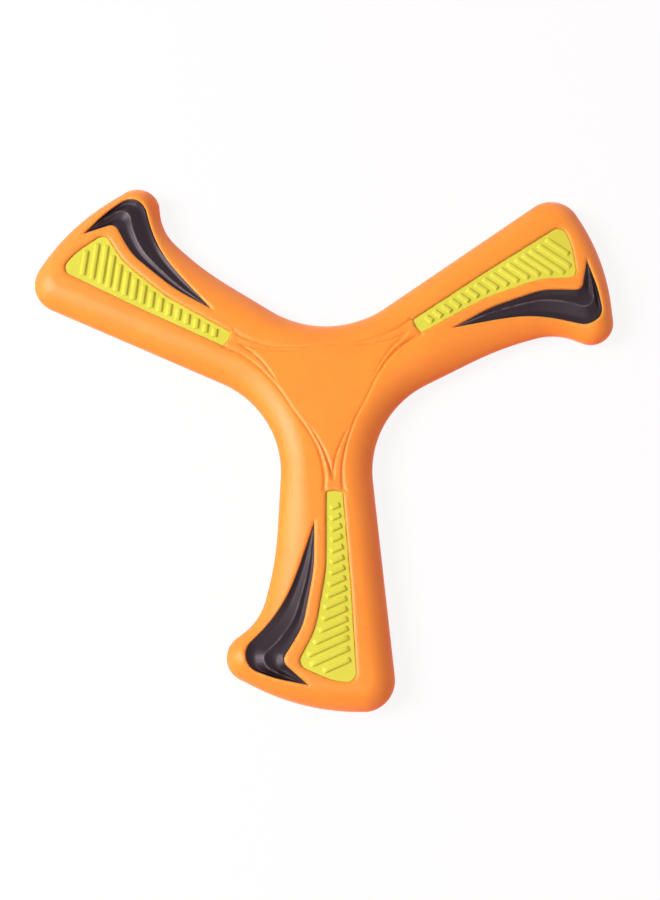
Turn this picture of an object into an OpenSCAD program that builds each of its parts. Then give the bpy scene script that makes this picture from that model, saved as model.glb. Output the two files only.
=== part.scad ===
// Three-blade soft foam boomerang.
// One moulded foam body with a flat underside and a pillowed top. Each blade carries a
// long inset grip panel and, behind it, a fang-shaped inlay with a sharp crest between two channels.
// Origin: centre of the hub on the flat underside, +Z out of the decorated face.
// One blade points along -Y and the other two follow at thirds of a turn.

/* [Blade plan] */
// Hub centre to the middle of a blade's tip
blade_len = 149; // [135:1:165]
// Leading edge above the blade's axis, where its line crosses the hub centre
lead_root = 17; // [15:0.5:19]
// Leading edge above the blade's axis, at the tip
lead_tip = 32; // [28:0.5:36]
// Trailing edge below the blade's axis, where its line crosses the hub centre
trail_root = 19; // [17:0.5:21]
// Trailing edge below the blade's axis, where it begins to sweep out
trail_sweep = 22.8; // [21:0.2:25]
// Hub centre to the point where the trailing edge begins to sweep out
sweep_x = 82.5; // [76:0.5:88]
// Corner of the hook below the blade's axis
hook_drop = 53.7; // [50:0.1:58]
// Corner of the hook back from the tip
hook_back = 21.8; // [19:0.2:25]
// Neck between sweep and hook, below the blade's axis
neck_drop = 29.6; // [28:0.2:32]
// Neck between sweep and hook, back from the tip
neck_back = 40.4; // [38:0.2:44]
// Bend of the tip below the blade's axis
tip_bend = 9.5; // [6:0.5:12]

/* [Plan radii] */
// Hollow between two blades at the hub
notch_r = 48; // [40:1:54]
// Leading corner of the tip
corner_r = 14; // [12:0.5:16]
// Sweep of the tip's end
tip_r = 104; // [80:2:120]
// Round end of the hook
hook_r = 10.8; // [10:0.2:12.4]
// Hollow behind the hook
neck_r = 27.5; // [22:0.5:32]
// Long bend of the trailing edge
sweep_r = 150; // [110:5:170]

/* [Section] */
// Height of the widest line of the rim above the underside
rim_z = 6; // [4.5:0.1:7.5]
// Rise of the rounded edge above that line
edge_rise = 7.5; // [6.5:0.1:8.5]
// Further rise of the crown towards the middle of a blade
crown = 2; // [1.2:0.1:2.8]
// Distance from the rim at which the crown is reached
crown_reach = 16; // [14:1:20]
// Width of the rounded edge on the leading side
lead_edge = 10.5; // [9:0.5:12]
// Width of the rounded edge on the trailing side
trail_edge = 17; // [14:0.5:18.5]
// Width of the rounded edge round the tip and the hook
tip_edge = 9.5; // [8:0.5:9.8]
// Width of the rounded edge in the hollow between blades
notch_edge = 12; // [10:0.5:14]
// Fullness of the rounded edge: 2 is an ellipse, less is flatter
edge_full = 1.8; // [1.6:0.1:2.2]
// Width of the rounding below the rim
under_round = 5; // [3:0.5:6.5]

/* [Grip panel] */
// Hub centre to the narrow end of the panel
panel_start = 51; // [46:0.5:56]
// Width of the narrow end
panel_root_w = 7.4; // [6.4:0.2:8.4]
// Bow of the narrow end towards the hub
panel_root_bow = 0.6; // [0.4:0.1:1.2]
// Leading edge of the blade to the panel, at the narrow end
panel_gap_root = 14.7; // [13.7:0.1:15.7]
// Leading edge of the blade to the panel, at the wide end
panel_gap_tip = 17.4; // [16:0.2:18.6]
// Bow of the panel's leading side
panel_bow = 0.5; // [0.2:0.1:1.2]
// Wide end of the panel back from the blade's tip
panel_tip_gap = 11.6; // [10.6:0.2:12.6]
// Low corner of the panel back from the blade's tip
panel_low_back = 19.6; // [18.6:0.2:21]
// Depth of the low corner below the narrow end's lower side
panel_low_drop = 13; // [12:0.5:14]
// Set-back of the wide end's bend from its corner
panel_end_slope = 1; // [0.5:0.1:2]
// Height of the wide end's bend above the narrow end's lower side
panel_end_bow = 3; // [1.5:0.5:4]
// Dip of the lower side in front of the low corner
panel_dip = 4.8; // [4:0.2:5.6]
// Run of that dip back from the low corner
panel_dip_run = 15.5; // [14:0.5:17]
// Run of the lower side's bend back from the low corner
panel_bend_run = 43; // [40:1:46]
// Radius of the bow of the leading side
panel_bow_r = 150; // [100:10:200]
// Radius of the wide end's corner
panel_tip_r = 5; // [3:0.5:6]
// Radius of the wide end's bend
panel_end_r = 40; // [30:1:50]
// Radius of the low corner
panel_low_r = 4; // [3:0.5:5]
// Radius of the dip
panel_dip_r = 38; // [30:1:44]
// Radius of the lower side's bend
panel_bend_r = 80; // [60:2:100]
// How far the panel's face lies below the foam round it
panel_recess = 0.9; // [0.6:0.1:1.4]
// Depth of the panel's pocket below the crest of the blade
panel_seat = 4.2; // [3.6:0.1:5]

/* [Fang inlay] */
// Hub centre to the narrow point of the inlay
fang_start = 65.5; // [62:0.5:70]
// Width of the foam strap between panel and inlay
strap_w = 5.3; // [4.7:0.1:5.9]
// Bend of the outer edge along the sweep, back from the blade's tip
fang_sweep_back = 44.7; // [43.5:0.1:46]
// The same bend below the blade's axis
fang_sweep_drop = 19; // [18:0.2:20]
// Corner of the outer edge at the hook, back from the blade's tip
fang_hook_back = 21.2; // [20.2:0.2:22.2]
// The same corner below the blade's axis
fang_hook_drop = 41.8; // [40.6:0.2:42.6]
// Bend of the outer edge between hook and tip, back from the blade's tip
fang_bend_back = 13.8; // [13.2:0.1:14.4]
// The same bend below the blade's axis
fang_bend_drop = 22.6; // [21.6:0.2:23.6]
// Tip of the inlay back from the blade's tip
fang_tip_back = 10.8; // [10.2:0.1:11.4]
// The same tip below the blade's axis
fang_tip_drop = 7.7; // [7.2:0.1:8.4]
// Turn of the inner edge back from the panel's low corner
turn_back = 1.6; // [1:0.1:2.2]
// The same turn below the panel's low corner
turn_drop = 6.4; // [5.8:0.1:7]
// Radius of the outer edge's bend along the sweep
fang_sweep_r = 68; // [60:1:76]
// Radius of the outer edge round the hook
fang_hook_r = 8.2; // [7.4:0.1:9]
// Radius of the outer edge's bend between hook and tip
fang_bend_r = 60; // [40:1:70]
// Radius of the inner edge's turn
turn_r = 2.2; // [1.4:0.1:3]
// How far the inlay's edges lie below the foam round them
fang_recess = 0.9; // [0.5:0.1:1.4]
// Depth of the two channels below the inlay's edges
channel_depth = 1.6; // [0.8:0.1:2]
// Height of the crest between the channels above their floors
crest_rise = 1.3; // [0.6:0.1:1.6]
// Width of the inlay from which the channels have their full depth
fang_full_w = 10; // [8:0.5:12]
// Place of the crest across the inlay, as a share from the inner edge, at the narrow point
crest_root = 0.38; // [0.3:0.01:0.45]
// The same before the hook
crest_neck = 0.41; // [0.35:0.01:0.48]
// The same at the hook
crest_hook = 0.53; // [0.45:0.01:0.6]
// The same at the tip
crest_tip = 0.56; // [0.45:0.01:0.6]
// Depth of the inlay's pocket below the crest of the blade
fang_seat = 5.6; // [5.2:0.1:6.2]

/* [Fit] */
// Clearance between an inlay's side and its pocket
fit_gap = 0.2; // [0.1:0.05:0.3]
// Width of the softened lip round a pocket
lip_w = 0.8; // [0.5:0.1:1.2]
// Drop of the softened lip round a pocket
lip_drop = 0.4; // [0.2:0.1:0.6]

/* [Hidden] */

// Directions of the three blades
THIRD = 360 / 3;
LOWER = -90;
RIGHT = LOWER + THIRD;
LEFT = RIGHT + THIRD;

// Steps along the stretches of a blade's rim
notch_steps = 4;
lead_steps = 12;
corner_steps = 8;
tip_steps = 8;
hook_steps = 8;
neck_steps = 4;
sweep_steps = 4;
trail_steps = 2;
// Steps over the rounded edge, in to the inlays, under the rim and across an inlay
edge_steps = 4;
row_steps = 5;
under_steps = 4;
panel_cols = 4;
fang_cols = 8;
// Steps round the panel's long bends and its tighter ones
bend_steps = 4;
turn_steps = 6;
// Columns of facets across the strap
strap_cols = 4;
// Band of facets along the rim, as a share of the rounded edge at the tip
band_share = 0.4;
// Where the crest starts to drift outwards and where it nears the hook, as shares of the way to the hook
crest_leaves = 0.4;
crest_nears = 0.72;

body_t = rim_z + edge_rise + crown;
panel_floor = body_t - panel_seat;
fang_floor = body_t - fang_seat;

orange = [0.99, 0.62, 0.25];
yellow = [0.91, 0.88, 0.35];
black = [0.22, 0.2, 0.23];

// Plane geometry
function dir(a) = [cos(a), sin(a)];
function left(a) = [-sin(a), cos(a)];
function spin(p, a) = [p[0] * cos(a) - p[1] * sin(a), p[0] * sin(a) + p[1] * cos(a)];
function heading(a, b) = atan2(b[1] - a[1], b[0] - a[0]);
function wrap(a) = a - 360 * floor((a + 180) / 360);
function mix(a, b, f) = a + (b - a) * f;
function flat(p) = [p[0], p[1]];
function part(p, a, b) = [for (k = [a:(b < a ? -1 : 1):b]) p[k]];
function reversed(p) = part(p, len(p) - 1, 0);
// Foot of the point p on the line from a to b
function foot(p, a, b) = let (d = (b - a) / norm(b - a)) a + d * ((p - a) * d);

// Point where the line through p at angle a meets the line through q at angle b
function meet(p, a, q, b) =
    let (d = q - p)
    p + dir(a) * (d[0] * sin(b) - d[1] * cos(b)) / sin(b - a);

// Length that a fillet of radius r takes from each side of the corner b
function taken(a, b, c, r) = r * tan(abs(wrap(heading(b, c) - heading(a, b))) / 2);
// Share of the side from b to c that the fillets at both its ends leave room for
function room(a, b, c, d, r, s) = min(1, norm(c - b) / (taken(a, b, c, r) + taken(b, c, d, s)));
// Radius at the corner k of the path v, limited by the sides that it shares with its neighbours
function fillet(v, r, k) =
    r[k] * min(
        k < 2 ? 1 : room(v[k - 2], v[k - 1], v[k], v[k + 1], r[k - 1], r[k]),
        k > len(v) - 3 ? 1 : room(v[k - 1], v[k], v[k + 1], v[k + 2], r[k], r[k + 1]));
// Arc that rounds the corner k of the path v in n steps, as [x, y, heading]
function arc(v, r, k, n) =
    let (
        h0 = heading(v[k - 1], v[k]),
        turn = wrap(heading(v[k], v[k + 1]) - h0),
        side = turn < 0 ? 1 : -1,
        rad = fillet(v, r, k),
        start = v[k] - dir(h0) * rad * tan(abs(turn) / 2),
        centre = start - side * rad * left(h0)
    )
    [for (i = [0:n])
        let (h = h0 + turn * i / n, p = centre + side * rad * left(h))
        [p[0], p[1], h]];

// Length of a path up to each of its points
function run(p) =
    [for (i = 0, s = 0; i < len(p); i = i + 1, s = i < len(p) ? s + norm(p[i] - p[i - 1]) : s) s];
// Shares of its length at which the points of a path lie
function shares(p) = let (s = run(p)) [for (x = s) x / s[len(p) - 1]];
// Points of the path p at the shares f of its length
function at_shares(p, f) =
    let (s = run(p), total = s[len(p) - 1])
    [for (x = f)
        let (
            at = total * x,
            i = min(len(p) - 2, max([for (j = [0:len(p) - 1]) if (s[j] <= at) j]))
        )
        mix(p[i], p[i + 1], (at - s[i]) / (s[i + 1] - s[i]))];
// The path p in n even steps
function even(p, n) = at_shares(p, [for (k = [0:n]) k / n]);

// Outline of one blade, drawn along +X and walked from the leading hollow round to the trailing one
lead_angle = atan2(lead_tip - lead_root, blade_len);
trail_angle = atan2(trail_root - trail_sweep, sweep_x);
notch_v = meet([0, lead_root], lead_angle, spin([0, -trail_root], THIRD), trail_angle + THIRD);
corner_v = [blade_len, lead_tip];
tip_v = [blade_len, -tip_bend];
hook_v = [blade_len - hook_back, -hook_drop];
neck_v = [blade_len - neck_back, -neck_drop];
sweep_v = [sweep_x, -trail_sweep];
// Corners from the blade before to the blade after, with their radii
blade_v = [
    spin(neck_v, THIRD), spin(sweep_v, THIRD), notch_v, corner_v, tip_v,
    hook_v, neck_v, sweep_v, spin(notch_v, -THIRD), spin(corner_v, -THIRD)
];
blade_r = [
    neck_r, sweep_r, notch_r, corner_r, tip_r, hook_r, neck_r, sweep_r, notch_r, corner_r
];
notch_arc = arc(blade_v, blade_r, 2, 2 * notch_steps);
corner_arc = arc(blade_v, blade_r, 3, corner_steps);
tip_arc = arc(blade_v, blade_r, 4, tip_steps);
hook_arc = arc(blade_v, blade_r, 5, hook_steps);
neck_arc = arc(blade_v, blade_r, 6, neck_steps);
sweep_arc = arc(blade_v, blade_r, 7, sweep_steps);
trail_arc = arc(blade_v, blade_r, 8, 2 * notch_steps);

// A stretch of rim as [x, y, heading, width of the rounded edge]
function rim(points, w) = [for (p = points) [p[0], p[1], wrap(p[2]), w]];
// The inner points of a straight stretch in n steps between two stretches of rim
function join(a, b, n) = [for (k = [1:n - 1]) mix(a[len(a) - 1], b[0], k / n)];

notch_rim = rim(part(notch_arc, notch_steps, 2 * notch_steps), notch_edge);
corner_rim = rim(corner_arc, lead_edge);
sweep_rim = rim(sweep_arc, trail_edge);
trail_rim = rim(part(trail_arc, 0, notch_steps), notch_edge);
blade_rim = concat(
    notch_rim,
    join(notch_rim, corner_rim, lead_steps),
    corner_rim,
    rim(tip_arc, tip_edge),
    rim(hook_arc, tip_edge),
    rim(neck_arc, (tip_edge + trail_edge) / 2),
    sweep_rim,
    join(sweep_rim, trail_rim, trail_steps),
    trail_rim
);
// The last point is the next blade's first
rim_n = len(blade_rim) - 1;

// Height of the top at a distance d inside a rim whose rounded edge is w wide
function edge_z(d, w) =
    rim_z
    + edge_rise * pow(1 - pow(1 - min(1, d / w), edge_full), 1 / edge_full)
    + crown * (1 - pow(1 - min(1, d / crown_reach), 2));
// Distance from p to the stretch of rim from a to b, with the edge's width there
function rim_span(p, a, b) =
    let (e = flat(b) - flat(a), f = max(0, min(1, (p - flat(a)) * e / (e * e))))
    [norm(p - flat(a) - f * e), mix(a[3], b[3], f)];
// Height of the pillowed top over the point p
function top_z(p) =
    let (
        spans = [for (i = [0:rim_n - 1]) rim_span(p, blade_rim[i], blade_rim[i + 1])],
        near = min([for (s = spans) s[0]]),
        w = [for (s = spans) if (s[0] == near) s[1]][0]
    )
    edge_z(near, w);
function lifted(p, drop) = [p[0], p[1], top_z(p) - drop];

// Grip panel: corners from its narrow end along the leading side, round the wide end and back
lead_slope = (lead_tip - lead_root) / blade_len;
panel_tip_x = blade_len - panel_tip_gap;
panel_low_x = blade_len - panel_low_back;
panel_root_y = lead_root + lead_slope * panel_start - panel_gap_root;
panel_tip_y = lead_root + lead_slope * panel_tip_x - panel_gap_tip;
panel_low = panel_root_y - panel_root_w;
panel_v = [
    [panel_start, panel_low],
    [panel_start, panel_root_y],
    [(panel_start + panel_tip_x) / 2, (panel_root_y + panel_tip_y) / 2 + panel_bow],
    [panel_tip_x, panel_tip_y],
    [panel_tip_x - panel_end_slope, panel_low + panel_end_bow],
    [panel_low_x, panel_low - panel_low_drop],
    [panel_low_x - panel_dip_run, panel_low - panel_dip],
    [panel_low_x - panel_bend_run, panel_low],
    [panel_start, panel_low]
];
panel_r = [0, 0, panel_bow_r, panel_tip_r, panel_end_r, panel_low_r, panel_dip_r, panel_bend_r, 0];
bow_arc = arc(panel_v, panel_r, 2, bend_steps);
wide_arc = arc(panel_v, panel_r, 3, corner_steps);
end_arc = arc(panel_v, panel_r, 4, bend_steps);
low_arc = arc(panel_v, panel_r, 5, turn_steps);
dip_arc = arc(panel_v, panel_r, 6, turn_steps);
bend_arc = arc(panel_v, panel_r, 7, bend_steps);
// The panel's lower side from its bend to the middle of its low corner, and the corner's other half
panel_long = concat(reversed(bend_arc), reversed(dip_arc), part(low_arc, turn_steps, turn_steps / 2));
panel_short = part(low_arc, turn_steps / 2, 0);

// Fang inlay: inner edge one strap's width from the panel, outer edge with its own bends and hook
function flats(points) = [for (p = points) flat(p)];
function beside(points, d) = [for (p = points) flat(p) + left(p[2]) * d];
fang_root = [fang_start, panel_low - strap_w];
fang_tip = [blade_len - fang_tip_back, -fang_tip_drop];
fang_v = [
    fang_root,
    [blade_len - fang_sweep_back, -fang_sweep_drop],
    [blade_len - fang_hook_back, -fang_hook_drop],
    [blade_len - fang_bend_back, -fang_bend_drop],
    fang_tip
];
fang_r = [0, fang_sweep_r, fang_hook_r, fang_bend_r, 0];
fang_sweep_arc = arc(fang_v, fang_r, 1, hook_steps);
fang_hook_arc = arc(fang_v, fang_r, 2, hook_steps);
fang_bend_arc = arc(fang_v, fang_r, 3, bend_steps);
inner_long = beside(concat(reversed(bend_arc), reversed(dip_arc)), strap_w);
turn_v = [inner_long[len(inner_long) - 1], panel_v[5] - [turn_back, turn_drop], fang_tip];
turn_arc = arc(turn_v, [0, turn_r, 0], 1, turn_steps);
// Points of the rim beside the inlay: its narrow point, the middle of the hook and its tip
tip_i = notch_steps + lead_steps + corner_steps + 1 + tip_steps / 2;
hook_i = tip_i + tip_steps / 2 + 1 + hook_steps / 2;
root_i = hook_i + hook_steps / 2 + neck_steps + 2 + sweep_steps;
// Rows up to the middle of the hook, and from there to the tip
long_n = root_i - hook_i;
tip_n = hook_i - tip_i;
fang_n = long_n + tip_n;
long_shares = shares(flats(part(blade_rim, root_i, hook_i)));
tip_shares = shares(flats(part(blade_rim, hook_i, tip_i)));
function two_runs(a, b) = concat(at_shares(a, long_shares), part(at_shares(b, tip_shares), 1, tip_n));
// The outer edge from the narrow point to the tip, one point for each point of the rim beside it
fang_outer = two_runs(
    flats(concat([fang_root], fang_sweep_arc, part(fang_hook_arc, 0, hook_steps / 2))),
    flats(concat(part(fang_hook_arc, hook_steps / 2, hook_steps), fang_bend_arc, [fang_tip]))
);
fang_inner = two_runs(
    flats(concat([fang_root], inner_long, part(turn_arc, 0, turn_steps / 2))),
    flats(concat(part(turn_arc, turn_steps / 2, turn_steps), [fang_tip]))
);

// Panel's edges: the upper one follows the rim beside it, the lower one keeps step with the inlay
panel_mouth = foot(fang_tip, panel_v[4], panel_v[5]);
mouth_steps = tip_steps / 2;
panel_end = [panel_start - panel_root_bow, (panel_low + panel_root_y) / 2];
panel_wide = concat([flat(wide_arc[corner_steps])], flats(end_arc), [panel_mouth]);
panel_upper = concat(
    [panel_end],
    even(concat([panel_v[1]], flats(bow_arc), [flat(wide_arc[0])]), lead_steps - 1),
    flats(part(wide_arc, 1, corner_steps)),
    part(even(panel_wide, mouth_steps), 1, mouth_steps)
);
panel_side = two_runs(
    concat([[fang_start, panel_low]], flats(panel_long)),
    concat(flats(panel_short), [panel_mouth])
);
panel_lower = concat([panel_end, panel_v[0]], part(panel_side, 1, fang_n));
panel_n = len(panel_upper) - 1;

// Points that the rim looks in at: the hub's spokes, the panel's upper edge and the fang's outer edge
spoke = [for (j = [0:notch_steps - 1]) panel_end * j / notch_steps];
inner = concat(
    spoke, panel_upper, reversed(fang_outer), [panel_v[0], panel_end], reversed(spoke)
);

// Rings of one blade: under the rim, over the rounded edge, and rows in to the pockets' lips
rim_band = band_share * tip_edge;
function under_ring(a) =
    [for (p = blade_rim)
        let (q = flat(p) - left(p[2]) * under_round * (1 - cos(a)))
        [q[0], q[1], rim_z * (1 - sin(a))]];
function edge_ring(d) =
    [for (p = blade_rim)
        let (q = flat(p) - left(p[2]) * d)
        [q[0], q[1], edge_z(d, p[3])]];
band = edge_ring(rim_band);
function row_ring(f) =
    [for (i = [0:rim_n])
        let (
            a = flat(band[i]),
            b = inner[i] + (a - inner[i]) * min(1, lip_w / norm(a - inner[i]))
        )
        lifted(mix(a, b, f), 0)];
rings = concat(
    [for (k = [under_steps:-1:1]) under_ring(90 * k / under_steps)],
    [for (k = [0:edge_steps]) edge_ring(rim_band * pow(k / edge_steps, 2))],
    [for (k = [1:row_steps]) row_ring(k / row_steps)]
);
ring_n = 3 * rim_n;

// Underside: a spine midway between the edges, from the hub's centre to the fan of the tip
bottom_n = notch_steps + lead_steps - 2;
bottom = [for (j = [1:bottom_n]) (rings[0][j] + rings[0][rim_n - j]) / 2];
function station(i) = min(i, rim_n - i, bottom_n);

// Points of one blade inside the rings, listed in this order
lip = [for (i = [1:rim_n - notch_steps - 1]) lifted(inner[i], i < notch_steps ? 0 : lip_drop)];
strap_a = [for (k = [1:fang_n - 1]) lifted(panel_lower[k + 1], lip_drop)];
strap_b = [for (k = [1:fang_n - 1]) lifted(fang_inner[k], lip_drop)];
strap_mid = [for (k = [1:fang_n - 1])
    let (a = panel_lower[k + 1], b = fang_inner[k], f = lip_w / norm(b - a))
    each [for (g = [f, 0.5, 1 - f]) lifted(mix(a, b, g), 0)]];
panel_loop = concat(panel_upper, part(panel_lower, panel_n - 1, 1));
fang_loop = concat(fang_inner, part(fang_outer, fang_n - 1, 1));
function at_height(points, z) = [for (p = points) [p[0], p[1], z]];
blade_lists = [
    lip, strap_a, strap_b, strap_mid,
    at_height(panel_loop, panel_floor), at_height(fang_loop, fang_floor), bottom
];
blade_points = [for (l = blade_lists) each l];
// Place of the first point of list k among a blade's points
function first_of(k) = k == 0 ? 0 : first_of(k - 1) + len(blade_lists[k - 1]);

function turned(p, a) = let (q = spin(p, a)) [q[0], q[1], p[2]];
// One blade's points after another, clockwise from the lower blade
function around(points) = [for (s = [0:2]) for (p = points) turned(p, LOWER - THIRD * s)];

// Two triangles for the clockwise quadrangle a b c d
function quad(a, b, c, d) = [[a, b, c], [a, c, d]];
// Flat floor between two edges that start and end at the same points
function floor_faces(loop, n) =
    let (size = 2 * n)
    concat(
        [[loop, loop + 1, loop + size - 1]],
        [for (k = [1:n - 2])
            each quad(loop + k, loop + k + 1, loop + size - k - 1, loop + size - k)],
        [[loop + n - 1, loop + n, loop + n + 1]]
    );

// Foam body: one closed skin from the flat underside over the rim to the pockets and their floors
module foam_skin() {
    hub_top = len(rings) * ring_n;
    hub_low = hub_top + 1;
    points = concat(
        [for (r = rings) each around(part(r, 0, rim_n - 1))],
        [lifted([0, 0], 0), [0, 0, 0]],
        around(blade_points)
    );
    walls = [for (k = [0:len(rings) - 2]) for (i = [0:ring_n - 1])
        let (j = (i + 1) % ring_n, a = k * ring_n, b = a + ring_n)
        each quad(a + i, a + j, b + j, b + i)];
    blades = [for (s = [0:2])
        each blade_faces(s, hub_top, hub_low, hub_low + 1 + s * len(blade_points))];
    polyhedron(points, concat(walls, blades));
}

// Faces of the blade s from the last ring in, and of its underside
function blade_faces(s, hub_top, hub_low, base) =
    let (
        crest = (len(rings) - 1) * ring_n,
        ring = function (i) (s * rim_n + i) % ring_n,
        at = function (k, i) base + first_of(k) + i,
        lip_at = function (i)
            i % rim_n == 0 ? hub_top : at(0, (i < rim_n - notch_steps ? i : rim_n - i) - 1),
        mouth = notch_steps + panel_n,
        upper = function (k) lip_at(notch_steps + k),
        outer = function (k) lip_at(mouth + 1 + fang_n - k),
        lower = function (k)
            k == 0 ? lip_at(notch_steps)
            : k == 1 ? lip_at(mouth + 2 + fang_n)
            : k == panel_n ? lip_at(mouth) : at(1, k - 2),
        fang_in = function (k) k == 0 ? outer(0) : k == fang_n ? outer(fang_n) : at(2, k - 1),
        strap = function (k, c)
            c == 0 ? lower(k + 1)
            : c == strap_cols ? fang_in(k) : at(3, (strap_cols - 1) * (k - 1) + c - 1),
        low = function (i) station(i) == 0 ? hub_low : at(6, station(i) - 1),
        panel_at = function (k) at(4, k % (2 * panel_n)),
        fang_at = function (k) at(5, k % (2 * fang_n)),
        last = fang_n - 1
    )
    concat(
        [for (i = [0:rim_n - 1])
            each quad(crest + ring(i), crest + ring(i + 1), lip_at(i + 1), lip_at(i))],
        [for (i = [0:rim_n - 1])
            each concat(
                [[ring(i + 1), ring(i), low(i)]],
                low(i) == low(i + 1) ? [] : [[ring(i + 1), low(i), low(i + 1)]])],
        [for (k = [1:last - 1]) for (c = [0:strap_cols - 1])
            each quad(strap(k, c), strap(k + 1, c), strap(k + 1, c + 1), strap(k, c + 1))],
        [
            [strap(0, 0), strap(1, 0), strap(1, 1)],
            [strap(0, 0), strap(1, 1), strap(1, 2)],
            [strap(0, 0), strap(1, 2), strap(0, 4)],
            [strap(0, 4), strap(1, 2), strap(1, 3)],
            [strap(0, 4), strap(1, 3), strap(1, 4)],
            [strap(last, 0), strap(fang_n, 0), strap(last, 1)],
            [strap(last, 1), strap(fang_n, 0), strap(last, 2)],
            [strap(last, 2), strap(fang_n, 0), strap(fang_n, 4)],
            [strap(last, 2), strap(fang_n, 4), strap(last, 3)],
            [strap(last, 3), strap(fang_n, 4), strap(last, 4)]
        ],
        [for (k = [0:panel_n - 1])
            each concat(
                quad(upper(k), upper(k + 1), panel_at(k + 1), panel_at(k)),
                quad(lower(k + 1), lower(k), panel_at(2 * panel_n - k), panel_at(2 * panel_n - k - 1)))],
        [for (k = [0:last])
            each concat(
                quad(fang_in(k), fang_in(k + 1), fang_at(k + 1), fang_at(k)),
                quad(outer(k + 1), outer(k), fang_at(2 * fang_n - k), fang_at(2 * fang_n - k - 1)))],
        floor_faces(at(4, 0), panel_n),
        floor_faces(at(5, 0), fang_n)
    );

module foam_body() {
    color(orange) foam_skin();
}

// A closed loop, walked clockwise, drawn in by d
function shrunk(loop, d) =
    let (n = len(loop))
    [for (k = [0:n - 1]) loop[k] - left(heading(loop[(k + n - 1) % n], loop[(k + 1) % n])) * d];

// Inlay on a flat floor. Its columns lie at the shares "across" of its width, which change along its rows,
// and its face is a function of a point, its column and the width
module inlay(loop, cols, floor_z, across, face) {
    edge = shrunk(loop, fit_gap);
    n = len(edge) / 2;
    c = cols + 1;
    rows = [for (k = [1:n - 1]) for (j = [0:cols])
        let (a = edge[k], b = edge[2 * n - k], p = mix(a, b, across(j / cols, k / n)))
        [p[0], p[1], face(p, j / cols, norm(b - a))]];
    ends = len(rows);
    base = ends + 2;
    tips = [for (p = [edge[0], edge[n]]) [p[0], p[1], face(p, 0, 0)]];
    top = [for (k = [0:n - 3]) for (j = [0:cols - 1])
        let (a = k * c + j, b = a + c)
        each quad(a, b, b + 1, a + 1)];
    fans = [for (j = [0:cols - 1])
        each [[ends, j, j + 1], [ends + 1, ends - c + j + 1, ends - c + j]]];
    bottom = [for (f = floor_faces(base, n)) [f[2], f[1], f[0]]];
    rim_a = concat([ends], [for (k = [0:n - 2]) k * c], [ends + 1]);
    rim_b = concat([ends], [for (k = [0:n - 2]) k * c + cols], [ends + 1]);
    sides = [for (k = [0:n - 1])
        let (p = base + k, r = base + (2 * n - k) % (2 * n))
        each concat(
            quad(rim_a[k + 1], rim_a[k], p, p + 1),
            quad(rim_b[k], rim_b[k + 1], base + 2 * n - k - 1, r))];
    polyhedron(concat(rows, tips, at_height(edge, floor_z)), concat(bottom, sides, fans, top));
}

module panel(angle) {
    color(yellow) rotate(angle)
        inlay(
            panel_loop, panel_cols, panel_floor,
            function (f, t) f,
            function (p, f, w) top_z(p) - panel_recess);
}

// Place of the crest across the fang at a share t of its rows
function crest_at(t) =
    let (hook = long_n / fang_n)
    lookup(t, [
        [0, crest_root], [hook * crest_leaves, crest_root], [hook * crest_nears, crest_neck],
        [hook, crest_hook], [1, crest_tip]
    ]);
// Depth of the fang's face below its edges at a column f of its width w: two channels and a sharp crest
function sculpt(f, w) =
    let (full = min(1, w / fang_full_w), g = 1 - abs(2 * f - 1))
    full * (channel_depth * sin(min(90, 180 * g)) - crest_rise * max(0, 2 * g - 1));

module fang(angle) {
    color(black) rotate(angle)
        inlay(
            fang_loop, fang_cols, fang_floor,
            function (f, t) f < 0.5 ? 2 * f * crest_at(t) : mix(crest_at(t), 1, 2 * f - 1),
            function (p, f, w) top_z(p) - fang_recess - sculpt(f, w));
}

module lower_panel() { panel(LOWER); }
module right_panel() { panel(RIGHT); }
module left_panel() { panel(LEFT); }
module lower_fang() { fang(LOWER); }
module right_fang() { fang(RIGHT); }
module left_fang() { fang(LEFT); }

foam_body();
lower_panel();
right_panel();
left_panel();
lower_fang();
right_fang();
left_fang();
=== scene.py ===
"""Looks of a three-blade foam boomerang: body, ribbed grip panels, sculpted fang inlays, stage."""

import math
from functools import partial

import bmesh
import bpy
import numpy as np
from bpy.props import FloatProperty, FloatVectorProperty, PointerProperty
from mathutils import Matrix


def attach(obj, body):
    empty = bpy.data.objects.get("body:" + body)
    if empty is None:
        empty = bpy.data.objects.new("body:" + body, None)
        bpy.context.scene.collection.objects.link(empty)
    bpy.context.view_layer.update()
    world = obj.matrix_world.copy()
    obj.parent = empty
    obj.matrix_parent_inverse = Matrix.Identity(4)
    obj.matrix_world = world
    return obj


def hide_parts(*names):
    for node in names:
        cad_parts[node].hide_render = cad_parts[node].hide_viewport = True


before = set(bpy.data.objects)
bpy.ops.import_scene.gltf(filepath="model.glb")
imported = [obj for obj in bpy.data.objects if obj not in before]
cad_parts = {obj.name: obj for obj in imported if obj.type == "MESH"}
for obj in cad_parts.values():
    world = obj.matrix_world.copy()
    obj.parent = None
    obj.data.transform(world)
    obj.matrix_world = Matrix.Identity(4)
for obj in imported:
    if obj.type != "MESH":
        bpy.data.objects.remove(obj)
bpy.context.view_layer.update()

bl_info = {
    "name": "Foam boomerang",
    "version": (1, 0, 0),
    "blender": (4, 5, 0),
    "location": "View3D > Sidebar > Boomerang",
    "description": "Builds a soft foam boomerang with ribbed grip panels and fang inlays",
    "category": "Add Mesh",
}

BODY = "root"
PHOTO_HEIGHT_PX = 900
MM = 0.001
THIRD = math.radians(120)
BLADE_TURNS = {"lower": math.radians(-90), "right": math.radians(30), "left": math.radians(150)}

# Names of the values that the meshes hand to materials and node trees
# Share of the painted highlight along each fang's crest
CREST_PAINTED_HIGHLIGHT = "crest_painted_highlight"
RIB_LENGTH = "rib_length"

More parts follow.
